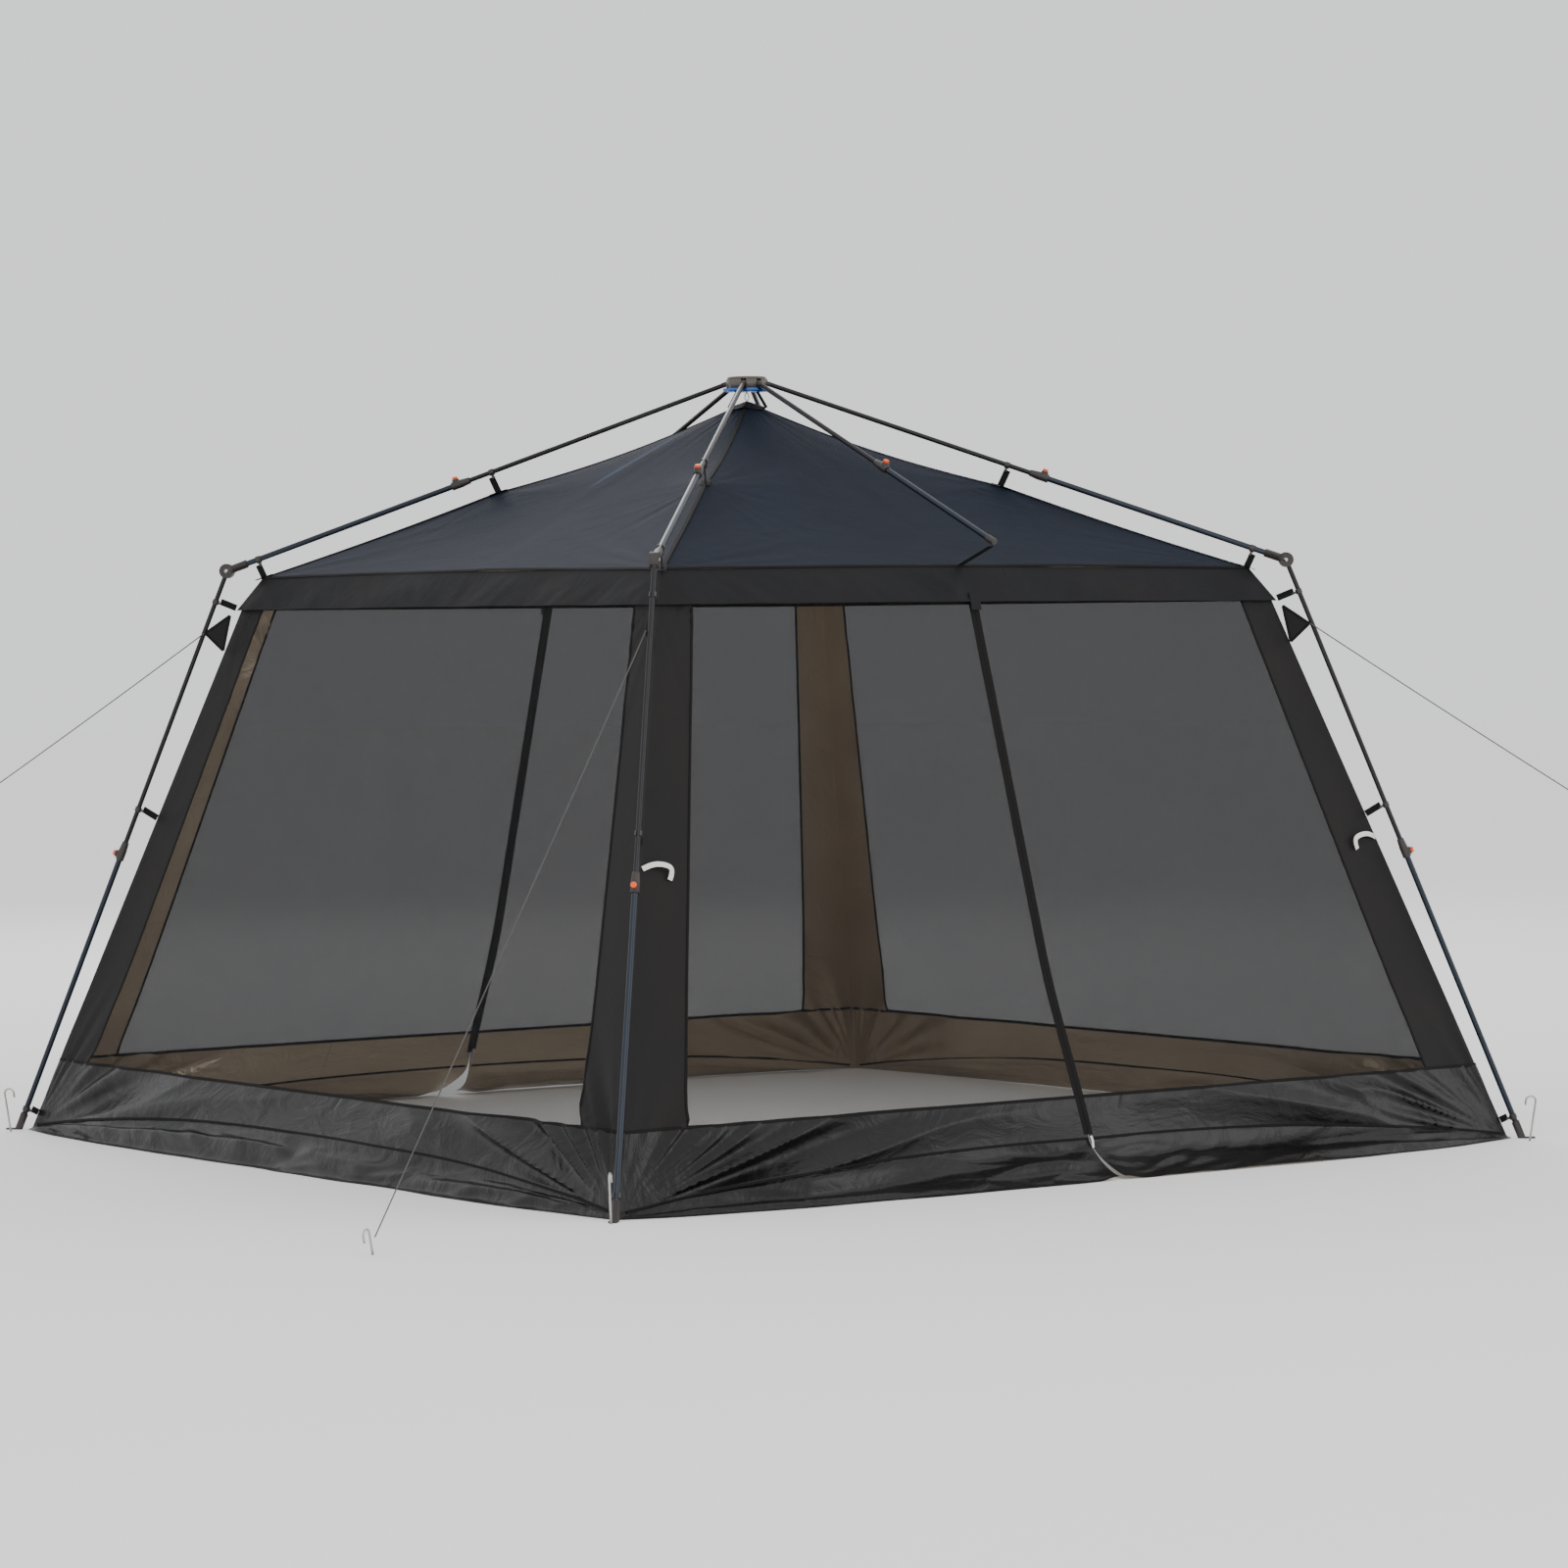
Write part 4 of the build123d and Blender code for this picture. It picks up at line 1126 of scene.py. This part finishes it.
for corner in CORNERS:
    copied(f"rafter_inner_{corner}", *THIN_TUBE)
    copied(f"rafter_outer_{corner}", *THICK_TUBE)
    copied(f"rafter_button_{corner}", [orange_abs], ["button_orange"])
    copied(f"elbow_{corner}", [zinc, nylon], ["bright_steel", "fitting_plastic"])
    copied(f"leg_upper_{corner}", *THIN_TUBE)
    copied(f"leg_lower_{corner}", *THICK_TUBE)
    copied(f"leg_button_{corner}", [orange_abs], ["button_orange"])
    copied(f"leg_foot_{corner}", [nylon], ["fitting_plastic"])
for door in DOORS:
    copied(f"eave_rafter_inner_{door}", *THIN_TUBE)
    copied(f"eave_rafter_outer_{door}", *CAPPED_TUBE)
    copied(f"eave_rafter_button_{door}", [orange_abs], ["button_orange"])
copied("hub_body", [hub_acetal], ["hub_plastic"])
copied("hub_cap", [hub_acetal], ["hub_plastic"])
copied("hub_disc", [blue_disc], ["hub_disc_blue"])
copied("hub_pins", [zinc], ["bright_steel"])
copied("ground_pegs", [zinc], ["bright_steel"])

# --- straps, clips and tabs ----------------------------------------------------------------------------

STRAP_WIDTH, STRAP_THICK = 0.022, 0.0016
STRAP_START = 0.010  # a strap starts this far under its tube
CLIP_WIDTH, CLIP_THICK, LUG_THICK = 0.016, 0.003, 0.007
CLIP_TURN = 150  # degrees that a clip's band reaches each way round its tube
PATCH_HALF, PATCH_WIDTH = 0.030, 0.030


def strap(name, body, start, end, look):
    """A short webbing strap on a body."""
    made = ribbon(name, straight(start, end), look, STRAP_WIDTH, STRAP_THICK, webbing)
    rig.ride(made, body)
    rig.slot(made, "webbing")
    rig.replaces(made, "hanging_straps")


def clip(name, body, centre, way, radius):
    """The plastic clip that snaps a strap to its tube: a C-shaped band with a lug under it."""
    bm = bmesh.new()
    side = way.cross(Vector((0, 0, 1))).normalized()
    down = way.cross(side)
    if down.z > 0:
        down = -down
    turns = [math.radians(lerp(-CLIP_TURN, CLIP_TURN, k / 24)) for k in range(25)]
    ring = [centre + (down * math.cos(t) + side * math.sin(t)) * (radius + 0.0022) for t in turns]
    looks = [(p - centre).normalized() for p in ring]
    add_ribbon(bm, ring, looks, CLIP_WIDTH, CLIP_THICK)
    lug = [centre + down * (radius + d) for d in (0.003, 0.009, 0.015)]
    add_ribbon(bm, lug, way, CLIP_WIDTH, LUG_THICK)
    made = finish_mesh(name, bm, [nylon])
    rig.ride(made, body)
    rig.slot(made, "fitting_plastic")


def over_ridge(r):
    dip = ridge_dip(min(r, RIDGE_STRAPS[1])) * 0.5
    return PEAK_Z - (PEAK_Z - ROOF_Z) * r / (ROOF_HALF * 2**0.5) - dip


def ridge_strap(label, corner, clip_r, low, radius, body):
    """A strap that holds a ridge up: its clip on the rafter, its webbing, and its patch on the roof."""
    side = tangent(corner)
    down_rafter = (arm_point(corner, *ELBOW) - arm_point(corner, *HUB_PIVOT)).normalized()
    start = arm_point(corner, clip_r, rafter_z(clip_r) - radius - STRAP_START)
    end = arm_point(corner, low, over_ridge(low) + 0.001)
    along = (low - PATCH_HALF, low, low + PATCH_HALF)
    patch = [arm_point(corner, r, over_ridge(r) + 0.002) for r in along]
    name = f"{label}_ridge_patch_{corner}"
    sewn = ribbon(name, patch, Vector((0, 0, 1)), PATCH_WIDTH, STRAP_THICK, webbing)
    hang_roof(sewn, corner)
    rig.slot(sewn, "webbing")
    strap(f"{label}_ridge_strap_{corner}", body, start, end, side)
    centre = arm_point(corner, clip_r, rafter_z(clip_r))
    clip(f"{label}_ridge_clip_{corner}", body, centre, down_rafter, radius)


def leg_strap(label, corner, z, hold, radius, body):
    """A strap from a leg at height z to the cloth at hold, which is a distance r and a height."""
    down_leg = (arm_point(corner, *FOOT) - arm_point(corner, *ELBOW)).normalized()
    start = arm_point(corner, leg_r(z) - radius - STRAP_START, z)
    end = arm_point(corner, hold[0] + 0.002, hold[1])
    strap(f"{label}_leg_strap_{corner}", body, start, end, tangent(corner))
    clip(f"{label}_leg_clip_{corner}", body, arm_point(corner, leg_r(z), z), down_leg, radius)


def on_wall(z):
    """A corner of the walls at height z."""
    return wall_half(z) * 2**0.5, z


for corner in CORNERS:
    rafter, slide = f"rafter_{corner}", f"rafter_slide_{corner}"
    ridge_strap("upper", corner, RAFTER_CLIPS[0], RIDGE_STRAPS[0], THIN_R, rafter)
    ridge_strap("lower", corner, RAFTER_CLIPS[1], RIDGE_STRAPS[1], THICK_R, slide)
    eave = (BAND_LOW[0] * 2**0.5, BAND_LOW[1] + 0.008)
    leg_strap("eave", corner, EAVE_STRAP, eave, THIN_R, f"leg_{corner}")
    leg_strap("middle", corner, MIDDLE_STRAP, on_wall(1.082), THIN_R, f"leg_{corner}")
    leg_strap("foot", corner, FOOT_STRAP, on_wall(0.060), THICK_R, f"leg_slide_{corner}")
for door, sy in DOORS.items():
    tip = Vector((0, sy * (EAVE_TIP[0] - 0.014), EAVE_TIP[1] - 0.014))
    seam = Vector((0, sy * (ROOF_HALF - SEAM_IN + 0.004), ROOF_Z + SEAM_UP + 0.002))
    strap(f"eave_strap_{door}", f"eave_rafter_slide_{door}", tip, seam, Vector((0, 0, 1)))


def follow_door(piece):
    """What is sewn to a door's middle stays with the hub, and is drawn in as the frame folds."""
    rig.ride(piece, "hub")
    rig.squash(piece, "rafter_fold_front_left", axis=(0, 1, 0), anchor=(0, 0, 0), keep=0.08)


def door_side(door):
    """A door's side, seen from the corner at its left end."""
    corner = "front_left" if door == "front" else "back_left"
    return halves(corner)[1], corner


def zip_points(door, a, proud):
    side, corner = door_side(door)
    heights = [lerp(ZIP_TOP_Z, SLIDER_Z[door], k / 60) for k in range(61)]
    return [wall_point(side, corner, 0.0, z, proud) + Vector((a, 0, 0)) for z in heights]


teeth_tree = row_tree("zip_teeth", binding)
for door in DOORS:
    side, corner = door_side(door)
    bm = bmesh.new()
    for a in (-0.0092, 0.0092):
        add_ribbon(bm, zip_points(door, a, 0.0), facing(side), 0.0165, 0.0024)
    tape = finish_mesh(f"zip_tapes_{door}", bm, [binding])
    teeth = row(f"zip_teeth_{door}", zip_points(door, 0.0, 0.0), teeth_tree, 0.004, 0.0022, 0.0058, 0.0036)
    top = [wall_point(side, corner, 0.0, z, out) for z, out in ZIP_GARAGE]
    flap = ribbon(f"zip_garage_{door}", top, facing(side), 0.040, 0.003, band_outside)
    low = [wall_point(side, corner, 0.0, SLIDER_Z[door] - d, out) for d, out in PULL_TAB]
    pull = ribbon(f"zip_pull_{door}", low, facing(side), 0.008, 0.0022, white_webbing)
    for piece, slot in ((tape, "zip_tape"), (teeth, "zip_tape"), (flap, "band_polyester")):
        follow_door(piece)
        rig.slot(piece, slot)
    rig.replaces(tape, "door_zips")
    slider = copied(f"zip_slider_{door}", [zinc], ["zip_slider"])[0]
    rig.ride(pull, f"zip_slider_{door}")
    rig.slot(pull, "zip_slider")
    for piece in (slider, pull):
        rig.squash(piece, "rafter_fold_front_left", axis=(0, 1, 0), anchor=(0, 0, 0), keep=0.08)


def guy_tab(corner):
    """The three-cornered cloth tab at a leg's top, edged with tape, that a guy ties to."""
    beside = GUY_BESIDE * GUY_SIDE[corner]
    outline = [arm_point(corner, r, z, beside) for r, z in TAB_OUTLINE]
    across = tangent(corner) * 0.0010
    bm = bmesh.new()
    front = [bm.verts.new(p + across) for p in outline]
    back = [bm.verts.new(p - across) for p in outline]
    made = [bm.faces.new(front), bm.faces.new(back[::-1])]
    for k in range(3):
        made.append(bm.faces.new((front[k], back[k], back[(k + 1) % 3], front[(k + 1) % 3])))
    bmesh.ops.recalc_face_normals(bm, faces=made)
    tab = finish_mesh(f"guy_tab_{corner}", bm, [strip_outside])
    bm = bmesh.new()
    for k in range(3):
        add_ribbon(bm, straight(outline[k], outline[(k + 1) % 3]), tangent(corner), 0.009, 0.0036)
    edging = finish_mesh(f"guy_tab_edging_{corner}", bm, [webbing])
    for piece, slot in ((tab, "strip_polyester"), (edging, "webbing")):
        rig.ride(piece, f"leg_{corner}")
        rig.slot(piece, slot)
    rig.replaces(tab, "guy_tabs")


def door_tie(corner):
    """The reflective loop on a corner strip that holds a rolled-up door."""
    side = halves(corner)[1]
    points = []
    for along, z, proud in DOOR_TIE:
        points.append(wall_point(side, corner, wall_half(z) - along, z, proud))
    path = smooth_path(f"door_tie_route_{corner}", points, 8)
    made = ribbon(f"door_tie_{corner}", path, facing(side), 0.016, 0.0022, white_webbing)
    hang_wall(made, corner)
    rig.slot(made, "webbing")


for corner in CORNERS:
    guy_tab(corner)
    door_tie(corner)


PATCH_R, PATCH_RINGS, PATCH_SIDES = 0.062, 7, 48
PATCH_OVER = 0.0035  # how far the patch lies over the roof's peak


def peak_patch():
    """The round cloth patch at the roof's peak, with the cords that hang it from the hub."""
    bm = bmesh.new()
    slope = (PEAK_Z - ROOF_Z) / ROOF_HALF
    rings = []
    for k in range(PATCH_RINGS):
        r = PATCH_R * (k + 1) / PATCH_RINGS
        ring = []
        for q in range(PATCH_SIDES):
            t = 2 * math.pi * q / PATCH_SIDES
            square = max(abs(math.cos(t)), abs(math.sin(t)))
            z = PEAK_Z + PATCH_OVER - slope * r * square
            ring.append(bm.verts.new((r * math.cos(t), r * math.sin(t), z)))
        rings.append(ring)
    tip = bm.verts.new((0, 0, PEAK_Z + PATCH_OVER))
    for q in range(PATCH_SIDES):
        after = (q + 1) % PATCH_SIDES
        bm.faces.new((tip, rings[0][q], rings[0][after]))
        for low, high in zip(rings, rings[1:]):
            bm.faces.new((low[q], high[q], high[after], low[after]))
    bmesh.ops.recalc_face_normals(bm, faces=bm.faces)
    bmesh.ops.solidify(bm, geom=bm.faces[:], thickness=-0.0015)
    patch = finish_mesh("peak_patch", bm, [band_outside])
    bm = bmesh.new()
    for lean in (-0.007, 0.007):
        strand = [(0.0, HUB_DISC_BOTTOM), (lean, 2.508), (lean * 1.2, 2.497), (0.0, PEAK_Z + 0.004)]
        add_rod(bm, [Vector((x, 0.0, z)) for x, z in strand], 0.0022, 10)
    cords = finish_mesh("peak_elastic", bm, [elastic])
    bm = bmesh.new()
    for x, y in ((0.030, -0.018), (-0.020, 0.028)):
        top, foot = Vector((x, y, HUB_DISC_BOTTOM)), Vector((x * 1.9, y * 1.9, PEAK_Z - 0.018))
        add_ribbon(bm, straight(top, foot), Vector((y, -x, 0)).normalized(), 0.010, 0.002)
    straps = finish_mesh("peak_straps", bm, [webbing])
    for piece, slot in ((patch, "roof_polyester"), (cords, "webbing"), (straps, "webbing")):
        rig.ride(piece, "hub")
        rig.slot(piece, slot)


peak_patch()

low, high = CAD_BOX
size = {"cad": [list(low), list(high)], "visual": [list(x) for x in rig.bounds()]}

# --- floor and light -----------------------------------------------------------------------------------


FLOOR_GLOW = 0.07  # brings the far floor up to the world's brightness, so that no horizon shows


def make_floor():
    """A pale, even floor."""
    bm = bmesh.new()
    bmesh.ops.create_circle(bm, cap_ends=True, segments=96, radius=70)
    glow = {"Emission_Color": (1, 1, 1, 1), "Emission_Strength": FLOOR_GLOW}
    finish = painted("floor_pale", ("#f6f5f4", "#f8f7f6"), 3.0, 0.0005, Roughness=1.0, **glow)
    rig.stage(finish_mesh("floor", bm, [finish]))


def soft_light(name, where, target, width, power):
    light = bpy.data.lights.new(name, "AREA")
    light.shape = "DISK"
    light.size = width
    light.energy = power
    made = bpy.data.objects.new(name, light)
    made.location = where
    made.rotation_euler = (Vector(target) - Vector(where)).to_track_quat("-Z", "Y").to_euler()
    made.visible_camera = False
    bpy.context.scene.collection.objects.link(made)


make_floor()
world = bpy.data.worlds.new("studio")
world.use_nodes = True
world.node_tree.nodes["Background"].inputs["Color"].default_value = linear("#f4f5f7")
world.node_tree.nodes["Background"].inputs["Strength"].default_value = 1.25
bpy.context.scene.world = world
soft_light("key", (-6, -11, 8), (0, 0, 1.2), 7, 330)
soft_light("fill", (9, -9, 5), (0, 0, 1.2), 8, 220)
soft_light("back", (5, 10, 8), (0, 0, 1.0), 7, 420)
soft_light("inside", (-0.1, -0.3, 1.7), (0.6, 1.8, 0.6), 1.6, 36)

with open("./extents.json", "w") as file:
    json.dump(size, file)
